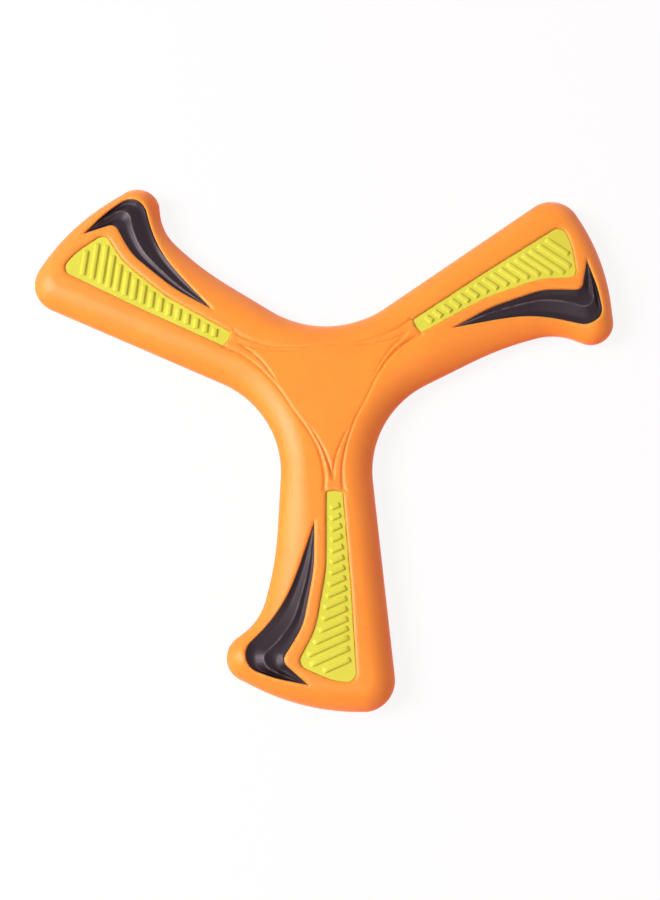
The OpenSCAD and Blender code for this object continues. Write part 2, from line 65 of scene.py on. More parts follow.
# Steps of the body's mesh along its stretches, across its edges and round its rim
STEPS = {
    "spoke": 80, "lead": 80, "corner": 24, "end": 22, "strap": 12, "tip": 46, "long": 88, "root": 5,
    "across": 48, "lip": 5, "under": 9, "sole": 8,
}
PANEL_ROWS = 150
PANEL_COLS = 36
FANG_ROWS = 190
FANG_COLS = 15

# Steps with which lines are read
RIM_STEPS = 700
SEARCH_STEPS = 3000
STRAP_STEPS = 300
POINTS_AT_ONCE = 4000
TINY = 1e-9


def size(name, description, millimetres):
    """A length that a user may change, written in millimetres."""
    return FloatProperty(
        name=name, description=description, default=millimetres / 1000, unit="LENGTH", precision=4
    )


def share(name, description, value):
    """A bare number that a user may change."""
    return FloatProperty(name=name, description=description, default=value, precision=3)


def colour(name, description, value):
    """A colour in linear light."""
    return FloatVectorProperty(
        name=name, description=description, default=value, subtype="COLOR", size=3, min=0, max=1
    )


def spot(name, description, value):
    """A place in space, in metres."""
    return FloatVectorProperty(
        name=name, description=description, default=value, subtype="XYZ", unit="LENGTH", size=3
    )


def angle_of(name, description, degrees):
    """An angle that a user may change, written in degrees."""
    return FloatProperty(
        name=name, description=description, default=math.radians(degrees), subtype="ANGLE"
    )


class BladeSizes(bpy.types.PropertyGroup):
    """Plan of one blade, drawn along +X from the hub's centre."""

    length: size("Length", "Hub centre to the middle of the tip", 149)
    lead_root: size("Leading root", "Leading edge above the axis at the hub", 17)
    lead_tip: size("Leading tip", "Leading edge above the axis at the tip", 32)
    trail_root: size("Trailing root", "Trailing edge below the axis at the hub", 19)
    trail_sweep: size("Trailing sweep", "Trailing edge below the axis where it sweeps out", 22.8)
    sweep_x: size("Sweep start", "Hub centre to where the trailing edge sweeps out", 82.5)
    hook_drop: size("Hook drop", "Corner of the hook below the axis", 53.7)
    hook_back: size("Hook back", "Corner of the hook back from the tip", 21.8)
    neck_drop: size("Neck drop", "Neck behind the hook below the axis", 29.6)
    neck_back: size("Neck back", "Neck behind the hook back from the tip", 40.4)
    tip_bend: size("Tip bend", "Bend of the tip below the axis", 9.5)
    notch_r: size("Notch radius", "Hollow between two blades at the hub", 48)
    corner_r: size("Corner radius", "Leading corner of the tip", 14)
    tip_r: size("Tip radius", "Sweep of the tip's end", 104)
    hook_r: size("Hook radius", "Round end of the hook", 10.8)
    neck_r: size("Neck radius", "Hollow behind the hook", 27.5)
    sweep_r: size("Sweep radius", "Long bend of the trailing edge", 150)


class SectionSizes(bpy.types.PropertyGroup):
    """Section of the foam: rim, rounded edges, crown and the lips of the pockets."""

    rim_z: size("Rim height", "Widest line of the rim above the underside", 6)
    edge_rise: size("Edge rise", "Rise of the rounded edge above the rim", 7.5)
    crown: size("Crown", "Further rise towards the middle of a blade", 2)
    crown_reach: size("Crown reach", "Distance from the rim at which the crown is reached", 16)
    lead_edge: size("Leading edge", "Width of the rounded edge on the leading side", 10.5)
    trail_edge: size("Trailing edge", "Width of the rounded edge on the trailing side", 17)
    tip_edge: size("Tip edge", "Width of the rounded edge round tip and hook", 9.5)
    notch_edge: size("Notch edge", "Width of the rounded edge between blades", 12)
    edge_full: share("Fullness", "Fullness of the rounded edge; 2 is an ellipse", 1.8)
    edge_blend: size("Edge blend", "Length over which edge widths run into each other", 16)
    under_round: size("Under rounding", "Width of the rounding below the rim", 5)
    lip_w: size("Lip width", "Width of the soft lip round a pocket", 2)
    lip_drop: size("Lip drop", "Drop of the soft lip round a pocket", 1.0)


class HubSizes(bpy.types.PropertyGroup):
    """Shallow lines that frame the hub's field and run to the panels."""

    frame_r: size("Field radius", "Hub centre to the middle of the field's side", 19.5)
    groove_w: size("Groove width", "Half width of a groove at the panel", 0.8)
    groove_depth: size("Groove depth", "Depth of a groove at the panel", 0.9)
    groove_taper: share("Groove taper", "How much a groove slims towards the hub's middle", 0.4)
    leaf_rise: size("Leaf rise", "Rise of the slim leaf between two grooves", 0.5)


class PanelSizes(bpy.types.PropertyGroup):
    """Inset grip panel with slanted ribs."""

    start: size("Start", "Hub centre to the narrow end", 51)
    root_w: size("Narrow width", "Width of the narrow end", 7.7)
    root_bow: size("Narrow bow", "Bow of the narrow end towards the hub", 0.6)
    gap_root: size("Root gap", "Leading edge of the blade to the panel at the narrow end", 14.55)
    gap_tip: size("Tip gap", "Leading edge of the blade to the panel at the wide end", 17.25)
    bow: size("Bow", "Bow of the leading side", 0.5)
    tip_gap: size("End gap", "Wide end back from the blade's tip", 11.5)
    low_back: size("Low corner back", "Low corner back from the blade's tip", 19.6)
    low_drop: size("Low corner drop", "Low corner below the narrow end", 13)
    end_slope: size("End slope", "Set-back of the wide end's bend", 1)
    end_bow: size("End bow", "Height of the wide end's bend", 3)
    dip: size("Dip", "Dip of the lower side before the low corner", 4.8)
    dip_run: size("Dip run", "Run of the dip back from the low corner", 15.5)
    bend_run: size("Bend run", "Run of the lower side's bend", 43)
    root_r: size("Root radius", "Radius of the narrow end's corners", 0.9)
    bow_r: size("Bow radius", "Radius of the leading side's bow", 150)
    tip_r: size("Corner radius", "Radius of the wide end's corner", 5)
    end_r: size("End radius", "Radius of the wide end's bend", 40)
    low_r: size("Low corner radius", "Radius of the low corner", 4)
    dip_r: size("Dip radius", "Radius of the dip", 38)
    bend_r: size("Bend radius", "Radius of the lower side's bend", 80)
    recess: size("Recess", "Face below the foam round it", 1.1)
    seat: size("Seat", "Pocket's floor below the crest of the blade", 4.2)
    fit: size("Fit", "Seam between an inlay and its pocket", 0.12)
    wander: size("Wander", "Unevenness of the panel's edge", 0.1)
    edge_w: size("Edge width", "Width of the rounding along an inlay's edge", 0.5)
    rib_pitch: size("Rib pitch", "Distance between ribs", 4.8)
    rib_w: size("Rib width", "Width of a rib", 3.0)
    rib_rise: size("Rib rise", "Height of a rib", 0.9)
    rib_border: size("Rib border", "Ribs' ends back from the panel's edge", 1.9)
    rib_ends: size("Rib margin", "First and last rib from the panel's ends", 7)
    rib_lean: angle_of("Rib lean", "Slant of the ribs", 24)


class FangSizes(bpy.types.PropertyGroup):
    """Sculpted inlay behind the panel: a sharp crest between two channels."""

    start: size("Start", "Hub centre to the narrow point", 65.5)
    strap_w: size("Strap", "Foam strap between panel and fang", 5.3)
    strap_swell: size("Strap swell", "Growth of the strap towards the fang's inner turn", 0.9)
    turn_back: size("Turn back", "Fang's inner turn back from the panel's low corner", 1.6)
    turn_drop: size("Turn drop", "Fang's inner turn below the panel's low corner", 6.4)
    turn_r: size("Turn radius", "Radius of the fang's inner turn", 3.8)
    slim: size("Slimming", "Hollow of the outer side near the narrow point", 0.4)
    slim_r: size("Slimming radius", "Radius of the hollow near the narrow point", 90)
    sweep_back: size("Sweep back", "Bend of the outer side back from the blade's tip", 44.7)
    sweep_drop: size("Sweep drop", "Bend of the outer side below the axis", 19)
    hook_back: size("Hook back", "Corner in the hook back from the blade's tip", 21.2)
    hook_drop: size("Hook drop", "Corner in the hook below the axis", 41.8)
    bend_back: size("Bend back", "Bend behind the tip back from the blade's tip", 13.8)
    bend_drop: size("Bend drop", "Bend behind the tip below the axis", 22.6)
    tip_back: size("Tip back", "Fang's tip back from the blade's tip", 10.8)
    tip_drop: size("Tip drop", "Fang's tip below the axis", 7.7)
    sweep_r: size("Sweep radius", "Radius of the outer side's bend", 68)
    hook_r: size("Hook radius", "Radius of the corner in the hook", 8.2)
    bend_r: size("Bend radius", "Radius of the bend behind the tip", 60)
    recess: size("Recess", "Edges below the foam round them", 1.0)
    depth: size("Channel depth", "Depth of the channels below the edges", 1.8)
    inner_depth: size("Inner depth", "Depth of the inner channel before the hook", 1.1)
    crest: size("Crest", "Height of the crest above the channels", 1.6)
    inner_floor: share("Inner floor", "Lowest line of the inner channel, from edge to crest", 0.5)
    outer_floor: share("Outer floor", "Lowest line of the outer channel, from edge to crest", 0.4)
    tip_floor: share("Tip floor", "Lowest line of the inner channel at the tip", 0.75)
    # Painted highlight along the crest: its half width
    highlight_w: size("Painted highlight", "Half width of the crest's rubbed edge", 0.35)
    full_w: size("Full width", "Width from which the channels have their full depth", 11)
    fan_place: share("Fan place", "Share of the fang's rows at which it turns round its hook", 0.62)
    fan_share: share("Fan share", "Share of the fang's rows that fan round the hook", 0.3)
    fan_inner: size("Inner fan", "Half the run of the inner edge that the fan covers", 5)
    fan_outer: size("Outer fan", "Half the run of the outer edge that the fan covers", 13)
    crest_root: share("Crest at the root", "Crest's place across the fang's narrow point", 0.38)
    crest_neck: share("Crest at the neck", "Crest's place across the fang before the hook", 0.41)
    crest_hook: share("Crest at the hook", "Crest's place across the fang at the hook", 0.53)
    crest_tip: share("Crest at the tip", "Crest's place across the fang at its tip", 0.56)
    seat: size("Seat", "Pocket's floor below the crest of the blade", 5.6)


class FoamFinishes(bpy.types.PropertyGroup):
    """Colours and surface of the three foams."""

    orange: colour("Orange", "Colour of the body", (0.98, 0.33, 0.008))
    orange_deep: colour("Deep orange", "Colour of the body's dark patches", (0.95, 0.305, 0.007))
    yellow: colour("Yellow", "Colour of the panels", (0.68, 0.705, 0.07))
    yellow_deep: colour("Deep yellow", "Colour of the panels' dark patches", (0.635, 0.655, 0.058))
    black: colour("Black", "Colour of the fangs", (0.0125, 0.0065, 0.01))
    black_deep: colour("Deep black", "Colour of the fangs' dark patches", (0.008, 0.004, 0.0065))
    # Painted highlight: a paler colour laid along the fangs' crests
    highlit: colour("Painted crest highlight", "Colour of the fangs' rubbed crests", (0.11, 0.1, 0.105))
    sheen_tint: colour("Sheen", "Tone of the body's pale sheen", (1.0, 0.6, 0.4))
    black_shine: colour("Black shine", "Tone of the fangs' shine", (1.0, 0.84, 0.93))
    scatter: size("Scatter", "How far light wanders in the orange foam", 3.5)
    scatter_tone: colour("Scatter tone", "Share of that way for each colour", (1.0, 0.25, 0.1))
    grain: size("Grain", "Size of the skin's fine grain", 0.5)
    patch: size("Patches", "Size of the colour's soft patches", 30)
    pinhole_gap: size("Pinhole spacing", "Spacing of the cells that may hold a pinhole", 9)
    pinhole_w: size("Pinhole", "Radius of a pinhole", 0.28)


class StageSettings(bpy.types.PropertyGroup):
    """Camera, lamps and floor."""

    camera_place: spot("Camera", "Place of the camera", (0.0017, -0.2185, 0.6672))
    camera_tilt: angle_of("Tilt", "Tilt of the camera from straight down", 15.99)
    focal_px: share("Focal length", "Focal length in pixels of a 900 pixel high picture", 1487.5)
    sensor: share("Sensor", "Height of the camera's sensor in millimetres", 36)
    key_place: spot("Key light", "Place of the soft lamp on the left", (-1.53, 0.0, 1.29))
    key_w: size("Key width", "Width of the soft lamp on the left", 1100)
    key_power: share("Key power", "Power of the soft lamp on the left, in watts", 45)
    fill_place: spot("Fill light", "Place of the soft lamp overhead", (0.0, -0.5, 1.3))
    fill_w: size("Fill width", "Width of the soft lamp overhead", 700)
    fill_power: share("Fill power", "Power of the soft lamp overhead, in watts", 3)
    sky: share("Sky", "Strength of the even surroundings", 0.38)
    sky_tone: colour("Sky tone", "Tone of the light from the surroundings", (1.0, 0.56, 0.54))
    floor_w: size("Floor", "Side of the square floor", 4000)
    floor_drop: size("Floor drop", "Floor below the underside", 0.2)
    floor_white: colour("Floor white", "Colour of the floor as it is seen", (0.9, 0.9, 0.9))
    floor_bounce: colour("Floor bounce", "Tone of the light from the floor", (1.0, 0.2, 0.16))
    floor_shadow: share("Floor shadow", "How much of the shadow the white floor shows", 0.12)


SETTINGS = {
    "boomerang_blade": BladeSizes,
    "boomerang_section": SectionSizes,
    "boomerang_hub": HubSizes,
    "boomerang_panel": PanelSizes,
    "boomerang_fang": FangSizes,
    "boomerang_finish": FoamFinishes,
    "boomerang_stage": StageSettings,
}


# Plane geometry

def turned(points, angle):
    """Points in the plane, or in space about Z, turned by an angle."""
    points = np.array(points, float)
    c, s = math.cos(angle), math.sin(angle)
    out = points.copy()
    out[..., 0] = points[..., 0] * c - points[..., 1] * s
    out[..., 1] = points[..., 0] * s + points[..., 1] * c
    return out


def meeting(p, a, q, b):
    """Point where the line through p at angle a meets the line through q at angle b."""
    d = np.subtract(q, p)
    along = (d[0] * math.sin(b) - d[1] * math.cos(b)) / math.sin(b - a)
    return np.add(p, along * np.array([math.cos(a), math.sin(a)]))


def turn_at(v, k):
    """Heading into the corner k of the path v, and the turn made there."""
    before, after = np.subtract(v[k], v[k - 1]), np.subtract(v[k + 1], v[k])
    h0, h1 = math.atan2(before[1], before[0]), math.atan2(after[1], after[0])
    return h0, (h1 - h0 + math.pi) % (2 * math.pi) - math.pi


def rounded(v, radii, step=math.radians(2)):
    """Arcs that round the inner corners of a path, each limited by the sides that it shares."""
    v = [np.array(p, float) for p in v]
    inner = range(1, len(v) - 1)
    turns = {k: turn_at(v, k) for k in inner}
    taken = {k: radii[k] * math.tan(abs(turns[k][1]) / 2) for k in inner}
    arcs = {}
    for k in inner:
        room = 1.0
        for side in (k - 1, k):
            wanted = taken.get(side, 0) + taken.get(side + 1, 0)
            room = min(room, np.linalg.norm(v[side + 1] - v[side]) / max(wanted, TINY))
        h0, turn = turns[k]
        radius = radii[k] * room
        hand = -1 if turn < 0 else 1
        start = v[k] - taken[k] * room * np.array([math.cos(h0), math.sin(h0)])
        centre = start + hand * radius * np.array([-math.sin(h0), math.cos(h0)])
        steps = 2 * max(2, math.ceil(abs(turn) / step / 2))
        h = h0 + np.linspace(0, turn, steps + 1)
        arcs[k] = centre - hand * radius * np.stack([-np.sin(h), np.cos(h)], axis=1)
    return arcs


def middle(points):
    """The middle one of a line of points."""
    return points[len(points) // 2]


def bezier(*points, n=60):
    """Curve through the first and last of three or four points."""
    t = np.linspace(0, 1, n + 1)[:, None]
    p = np.array(points, float)
    while len(p) > 1:
        p = [a + (b - a) * t for a, b in zip(p[:-1], p[1:])]
    return p[0]


class Path:
    """A line of points, with any further values in their columns, read by its running length."""

    def __init__(self, points):
        self.points = np.array(points, float)
        steps = np.linalg.norm(np.diff(self.points[:, :2], axis=0), axis=1)
        self.points = self.points[np.concatenate([[True], steps > TINY])]
        self.run = np.concatenate([[0], np.cumsum(steps[steps > TINY])])
        self.length = self.run[-1]

    def at(self, s):
        """Points at the running lengths s."""
        return np.stack([np.interp(s, self.run, c) for c in self.points.T], axis=-1)

    def cut(self, start, end, n):
        """A stretch of the line in n even steps."""
        return self.at(np.linspace(start, end, n + 1))

    def near(self, p, start=0.0, end=None):
        """Running length of the place nearest to p, within a stretch."""
        s = np.linspace(start, self.length if end is None else end, SEARCH_STEPS)
        return s[np.argmin(np.linalg.norm(self.at(s)[:, :2] - p, axis=1))]

    def right(self, s, reach=0.0004):
        """Unit normals to the right of the way."""
        d = (self.at(s + reach) - self.at(s - reach))[..., :2]
        d /= np.linalg.norm(d, axis=-1, keepdims=True)
        return np.stack([d[..., 1], -d[..., 0]], axis=-1)

    def beside(self, s, d):
        """Points to the right of the way by d."""
        return self.at(s)[..., :2] + self.right(s) * np.reshape(d, (-1, 1))


def distances(points, line):
    """Distance from each point to a line of points, with where along it the nearest place is."""
    a, b = line[:-1, :2], line[1:, :2]
    e = b - a
    size2 = (e * e).sum(1)
    near, along = np.empty(len(points)), np.empty(len(points))
    for first in range(0, len(points), POINTS_AT_ONCE):
        batch = slice(first, first + POINTS_AT_ONCE)
        p = points[batch, None, :2]
        f = np.clip(((p - a) * e).sum(-1) / size2, 0, 1)
        d = np.linalg.norm(p - a - f[..., None] * e, axis=-1)
        k = d.argmin(1)
        rows = np.arange(len(k))
        near[batch] = d[rows, k]
        along[batch] = k + f[rows, k]
    return near, along


def enclosed(points, loop):
    """Which points lie inside a closed line."""
    x, y = points[:, :1], points[:, 1:2]
    a, b = loop, np.roll(loop, -1, axis=0)
    crosses = (a[:, 1] > y) != (b[:, 1] > y)
    rise = np.where(a[:, 1] == b[:, 1], 1, b[:, 1] - a[:, 1])
    ahead = x < a[:, 0] + (y - a[:, 1]) / rise * (b[:, 0] - a[:, 0])
    return (crosses & ahead).sum(1) % 2 == 1


# Plan of a blade

# Places of the corners that are asked for again, in the lists that draw rim, panel and fang
NOTCH, LEAD, TIP, HOOK, NECK, SWEEP, NEXT_NOTCH = range(2, 9)
PANEL_WIDE, PANEL_LOW, PANEL_ROOT = 3, 5, 8
FANG_HOOK = 3

SWELL_POWER = 6
TURN_STEP = math.radians(5)


class BladePlan:
    """Lines of one blade along +X: its rim, the edges of panel and fang, and the strap between."""

    def __init__(self, scene):
        self.blade = scene.boomerang_blade
        self.section = scene.boomerang_section
        self.panel = scene.boomerang_panel
        self.fang = scene.boomerang_fang
        self.top = self.section.rim_z + self.section.edge_rise + self.section.crown
        self.draw_rim()
        self.draw_panel()
        self.draw_fang()

    def draw_rim(self):
        """The rim from one notch's middle to the next, with the width of its rounded edge."""
        b, s = self.blade, self.section
        lead = math.atan2(b.lead_tip - b.lead_root, b.length)
        trail = math.atan2(b.trail_root - b.trail_sweep, b.sweep_x)
        notch = meeting((0, b.lead_root), lead, turned((0, -b.trail_root), THIRD), trail + THIRD)
        corner = np.array([b.length, b.lead_tip])
        neck = np.array([b.length - b.neck_back, -b.neck_drop])
        sweep = np.array([b.sweep_x, -b.trail_sweep])
        corners = [
            turned(neck, THIRD), turned(sweep, THIRD), notch, corner, (b.length, -b.tip_bend),
            (b.length - b.hook_back, -b.hook_drop), neck, sweep, turned(notch, -THIRD),
            turned(corner, -THIRD)
        ]
        radii = [
            b.neck_r, b.sweep_r, b.notch_r, b.corner_r, b.tip_r, b.hook_r, b.neck_r, b.sweep_r,
            b.notch_r, b.corner_r
        ]
        arcs = rounded(corners, radii)
        half = len(arcs[NOTCH]) // 2
        arcs[NOTCH] = arcs[NOTCH][half:]
        arcs[NEXT_NOTCH] = arcs[NEXT_NOTCH][:len(arcs[NEXT_NOTCH]) - half]
        widths = {
            NOTCH: s.notch_edge, LEAD: s.lead_edge, TIP: s.tip_edge, HOOK: s.tip_edge,
            NECK: (s.tip_edge + s.trail_edge) / 2, SWEEP: s.trail_edge, NEXT_NOTCH: s.notch_edge
        }
        rim = Path(np.concatenate([
            np.column_stack([arcs[k], np.full(len(arcs[k]), width)]) for k, width in widths.items()
        ]))
        run = np.linspace(0, rim.length, RIM_STEPS)
        line = rim.at(run)
        window = np.hanning(2 * round(s.edge_blend / (run[1] - run[0])) + 3)
        padded = np.pad(line[:, 2], len(window) // 2, mode="edge")
        line[:, 2] = np.convolve(padded, window / window.sum(), mode="valid")
        self.rim = Path(line)
        self.corner_span = [self.rim.near(arcs[LEAD][0]), self.rim.near(arcs[LEAD][-1])]
        self.hook = self.rim.near(middle(arcs[HOOK]))
        self.sweep = self.rim.near(middle(arcs[SWEEP]))

    def draw_panel(self):
        """The panel's outline, from the middle of its narrow end and back to it."""
        b, p = self.blade, self.panel
        slope = (b.lead_tip - b.lead_root) / b.length
        tip_x, low_x = b.length - p.tip_gap, b.length - p.low_back
        root_y = b.lead_root + slope * p.start - p.gap_root
        tip_y = b.lead_root + slope * tip_x - p.gap_tip
        low = root_y - p.root_w
        self.low = low
        self.low_vertex = np.array([low_x, low - p.low_drop])
        self.end = np.array([p.start - p.root_bow, (root_y + low) / 2])
        corners = [
            self.end, (p.start, root_y), ((p.start + tip_x) / 2, (root_y + tip_y) / 2 + p.bow),
            (tip_x, tip_y), (tip_x - p.end_slope, low + p.end_bow), self.low_vertex,
            (low_x - p.dip_run, low - p.dip), (low_x - p.bend_run, low), (p.start, low), self.end
        ]
        radii = [0, p.root_r, p.bow_r, p.tip_r, p.end_r, p.low_r, p.dip_r, p.bend_r, p.root_r, 0]
        arcs = rounded(corners, radii)
        self.panel_path = Path(np.concatenate([[self.end], *arcs.values(), [self.end]]))
        near = self.panel_path.near
        self.wide_span = [near(arcs[PANEL_WIDE][0]), near(arcs[PANEL_WIDE][-1])]
        self.low_corner = near(middle(arcs[PANEL_LOW]))
        self.root_low = near(arcs[PANEL_ROOT][0])

    def draw_fang(self):
        """The fang's outer and inner edges, both from its narrow point to its tip."""
        b, f = self.blade, self.fang
        root = np.array([f.start, self.low - f.strap_w])
        tip = np.array([b.length - f.tip_back, -f.tip_drop])
        sweep = np.array([b.length - f.sweep_back, -f.sweep_drop])
        corners = [
            root, (root + sweep) / 2 + np.array([0, f.slim]), sweep,
            (b.length - f.hook_back, -f.hook_drop), (b.length - f.bend_back, -f.bend_drop), tip
        ]
        arcs = rounded(corners, [0, f.slim_r, f.sweep_r, f.hook_r, f.bend_r, 0])
        self.fang_outer = Path(np.concatenate([[root], *arcs.values(), [tip]]))
        self.fang_hook = self.fang_outer.near(middle(arcs[FANG_HOOK]))
        self.fang_tip_run = self.rim.near(tip, self.corner_span[1], self.hook)
        self.fang_root_run = self.rim.near(root, self.sweep)
        self.mouth = self.panel_path.near(tip, self.wide_span[1], self.low_corner)
        turn = self.low_vertex - np.array([f.turn_back, f.turn_drop])
        run = np.linspace(self.root_low, self.low_corner, STRAP_STEPS)
        swell = f.strap_swell * np.linspace(0, 1, len(run)) ** SWELL_POWER
        beside = self.panel_path.beside(run, -f.strap_w - swell)
        beside = beside[(beside[:, 0] > root[0]) & (beside[:, 0] < turn[0] - 2 * f.turn_r)]
        arc = rounded([beside[-1], turn, tip], [0, f.turn_r, 0], TURN_STEP)[1]
        self.fang_inner = Path(np.concatenate([[root], beside, arc, [tip]]))
        self.fang_turn = self.fang_inner.near(middle(arc))

    def top_z(self, points):
        """Height of the pillowed top over points of the plane."""
        s = self.section
        d, along = distances(points.reshape(-1, 2), self.rim.points)
        w = np.interp(along, np.arange(len(self.rim.points)), self.rim.points[:, 2])
        inside = np.clip(1 - d / w, 0, 1)
        edge = (1 - inside ** s.edge_full) ** (1 / s.edge_full)
        crown = 1 - np.clip(1 - d / s.crown_reach, 0, 1) ** 2
        z = s.rim_z + s.edge_rise * edge + s.crown * crown
        return z.reshape(points.shape[:-1])


def smooth_values(x, knots, values):
    """Values that run smoothly through the knots, without overshoot."""
    knots, values = np.array(knots), np.array(values)
    slopes = np.diff(values) / np.diff(knots)
    inner = np.where(slopes[:-1] * slopes[1:] > 0, (slopes[:-1] + slopes[1:]) / 2, 0)
    m = np.concatenate([slopes[:1], inner, slopes[-1:]])
    k = np.clip(np.searchsorted(knots, x) - 1, 0, len(knots) - 2)
    h = knots[k + 1] - knots[k]
    t = (x - knots[k]) / h
    a, b = (1 + 2 * t) * (1 - t) ** 2, t * t * (3 - 2 * t)
    c, d = t * (1 - t) ** 2, t * t * (t - 1)
    return a * values[k] + b * values[k + 1] + h * (c * m[k] + d * m[k + 1])


# The hub's lines on one blade, along and across it in millimetres: the ends at the panel with their
# pulls, how far the field's side pulls at the other end, and the slim leaves inside
LEAD_LINE, LEAD_PULL = ((50.5, 8.1), (39.8, 4.9)), 14.4
TRAIL_LINE, TRAIL_PULL = ((50.5, -0.9), (28.4, 0.7)), 10.3
UPPER_LEAF = ((46.5, 3.2), (33, 2.6), (19, 11.7))
LOWER_LEAF = ((46.5, 3.2), (32, 0.9), (19, -8.9))

# Steps of a leaf's line over which it fades in at the panel and out at its end, and its least width
LEAF_FADE_IN, LEAF_FADE_OUT = 8, 12
LEAF_LEAST = 1e-6


def in_metres(points):
    """Points of the plane given in millimetres."""
    return [(x * MM, y * MM) for x, y in points]


def hub_lines(scene):
    """Grooves of one blade's share of the hub: the outer frame lines and the inner leaf lines."""
    r = scene.boomerang_hub.frame_r
    c, s = math.cos(THIRD / 2), math.sin(THIRD / 2)
    up, low = LEAD_PULL * MM, TRAIL_PULL * MM
    lead = bezier(*in_metres(LEAD_LINE), (r * c + up * s, r * s - up * c), (r * c, r * s))
    trail = bezier(*in_metres(TRAIL_LINE), (r * c + low * s, -r * s + low * c), (r * c, -r * s))
    leaves = [bezier(*in_metres(leaf)) for leaf in (UPPER_LEAF, LOWER_LEAF)]
    return [lead, trail], leaves


def groove(hub, points, line):
    """Depth of a groove that is widest and deepest at the panel's end of its line."""
    near, along = distances(points, line)
    slim = 1 - hub.groove_taper * along / (len(line) - 1)
    return -hub.groove_depth * slim * np.exp(-(near / (hub.groove_w * slim)) ** 2)


def hub_relief(scene, points):
    """Depth of the hub's grooves and rise of the leaves between them."""
    hub = scene.boomerang_hub
    outer, leaves = hub_lines(scene)
    turns = (0, THIRD, -THIRD)
    relief = np.min([groove(hub, points, turned(line, a)) for line in outer for a in turns], axis=0)
    for line, frame_line in zip(leaves, outer):
        d, along = distances(points, line)
        left = len(line) - 1 - along
        fade = np.clip(along / LEAF_FADE_IN, 0, 1) * np.clip(left / LEAF_FADE_OUT, 0, 1)
        own = distances(points, frame_line)[0]
        first, last = (round(distances(p[None], frame_line)[1][0]) for p in (line[0], line[-1]))
        held = enclosed(points, np.concatenate([line, frame_line[first:last + 1][::-1]]))
        arch = 4 * own * d / np.maximum(own + d, LEAF_LEAST) ** 2
        relief = np.minimum(relief, groove(hub, points, line) * fade)
        relief += hub.leaf_rise * fade * arch * held
    return relief


# Meshes

MERGE = 3e-7
SHARP = math.radians(50)


class Skin:
    """Collects patches of points and makes one closed mesh of them."""

    def __init__(self):
        self.points, self.faces, self.count = [], [], 0

    def add(self, grid):
        """A patch of rows and columns of points."""
        rows, cols = grid.shape[:2]
        index = self.count + np.arange(rows * cols).reshape(rows, cols)
        quads = np.stack([index[:-1, :-1], index[:-1, 1:], index[1:, 1:], index[1:, :-1]], axis=-1)
        self.points.append(grid.reshape(-1, 3))
        self.faces.append(quads.reshape(-1, 4))
        self.count += rows * cols

    def three_fold(self):
        """The same skin on all three blades."""
        points, faces = np.concatenate(self.points), np.concatenate(self.faces)
        self.points = [turned(points, a) for a in BLADE_TURNS.values()]
        self.faces = [faces + k * len(points) for k in range(len(BLADE_TURNS))]
        self.count = len(points) * len(BLADE_TURNS)

    def turn(self, angle):
        """Turn the skin about Z."""
        self.points = [turned(np.concatenate(self.points), angle)]

    def mesh(self, name):
        """The patches sewn together, with the faces that close them."""
        points, faces = np.concatenate(self.points), np.concatenate(self.faces)
        data = bpy.data.meshes.new(name)
        data.from_pydata(points.tolist(), [], faces.tolist())
        work = bmesh.new()
        work.from_mesh(data)
        bmesh.ops.remove_doubles(work, verts=work.verts, dist=MERGE)
        bmesh.ops.dissolve_degenerate(work, edges=work.edges, dist=MERGE)
        bmesh.ops.holes_fill(work, edges=[e for e in work.edges if e.is_boundary], sides=0)
        bmesh.ops.triangulate(work, faces=[f for f in work.faces if len(f.verts) > 4])
        bmesh.ops.recalc_face_normals(work, faces=work.faces)
        if any(not e.is_manifold for e in work.edges):
            raise RuntimeError(f"{name} isn't closed")
        work.to_mesh(data)
        work.free()
        data.shade_smooth()
        data.set_sharp_from_angle(angle=SHARP)
        return data


def ladder(a, b, shares):
    """Points between two lines of points at the given shares of the way across."""
    shares = np.reshape(shares, (1, -1, 1)) if np.ndim(shares) < 2 else shares[..., None]
    return a[:, None, :] + (b - a)[:, None, :] * shares


def raised(points, z):
    """Points of the plane at the height z."""
    return np.concatenate([points, np.broadcast_to(z, points.shape[:-1])[..., None]], axis=-1)


def softened(n):
    """Shares from 0 to 1 that crowd towards both ends."""
    return (1 - np.cos(np.linspace(0, math.pi, n + 1))) / 2


def quarter(n):
    """Angles of a quarter turn in n steps."""
    return np.linspace(0, math.pi / 2, n + 1)


def between(a, b, n):
    """Points from a to b that crowd towards both ends."""
    return a + (b - a) * softened(n)[:, None]


def place(name, data, material, slot_name, *nodes):
    """A finished piece in the scene, on the object's one body."""
    piece = bpy.data.objects.new(name, data)
    bpy.context.scene.collection.objects.link(piece)
    data.materials.clear()
    data.materials.append(material)
    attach(piece, BODY)
    if nodes:
        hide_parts(*nodes)
    return piece


# Crowding of the body's rows towards the rim, and how much evener they lie round the hub
RIM_CROWD = 1.5
HUB_EASE = 0.35


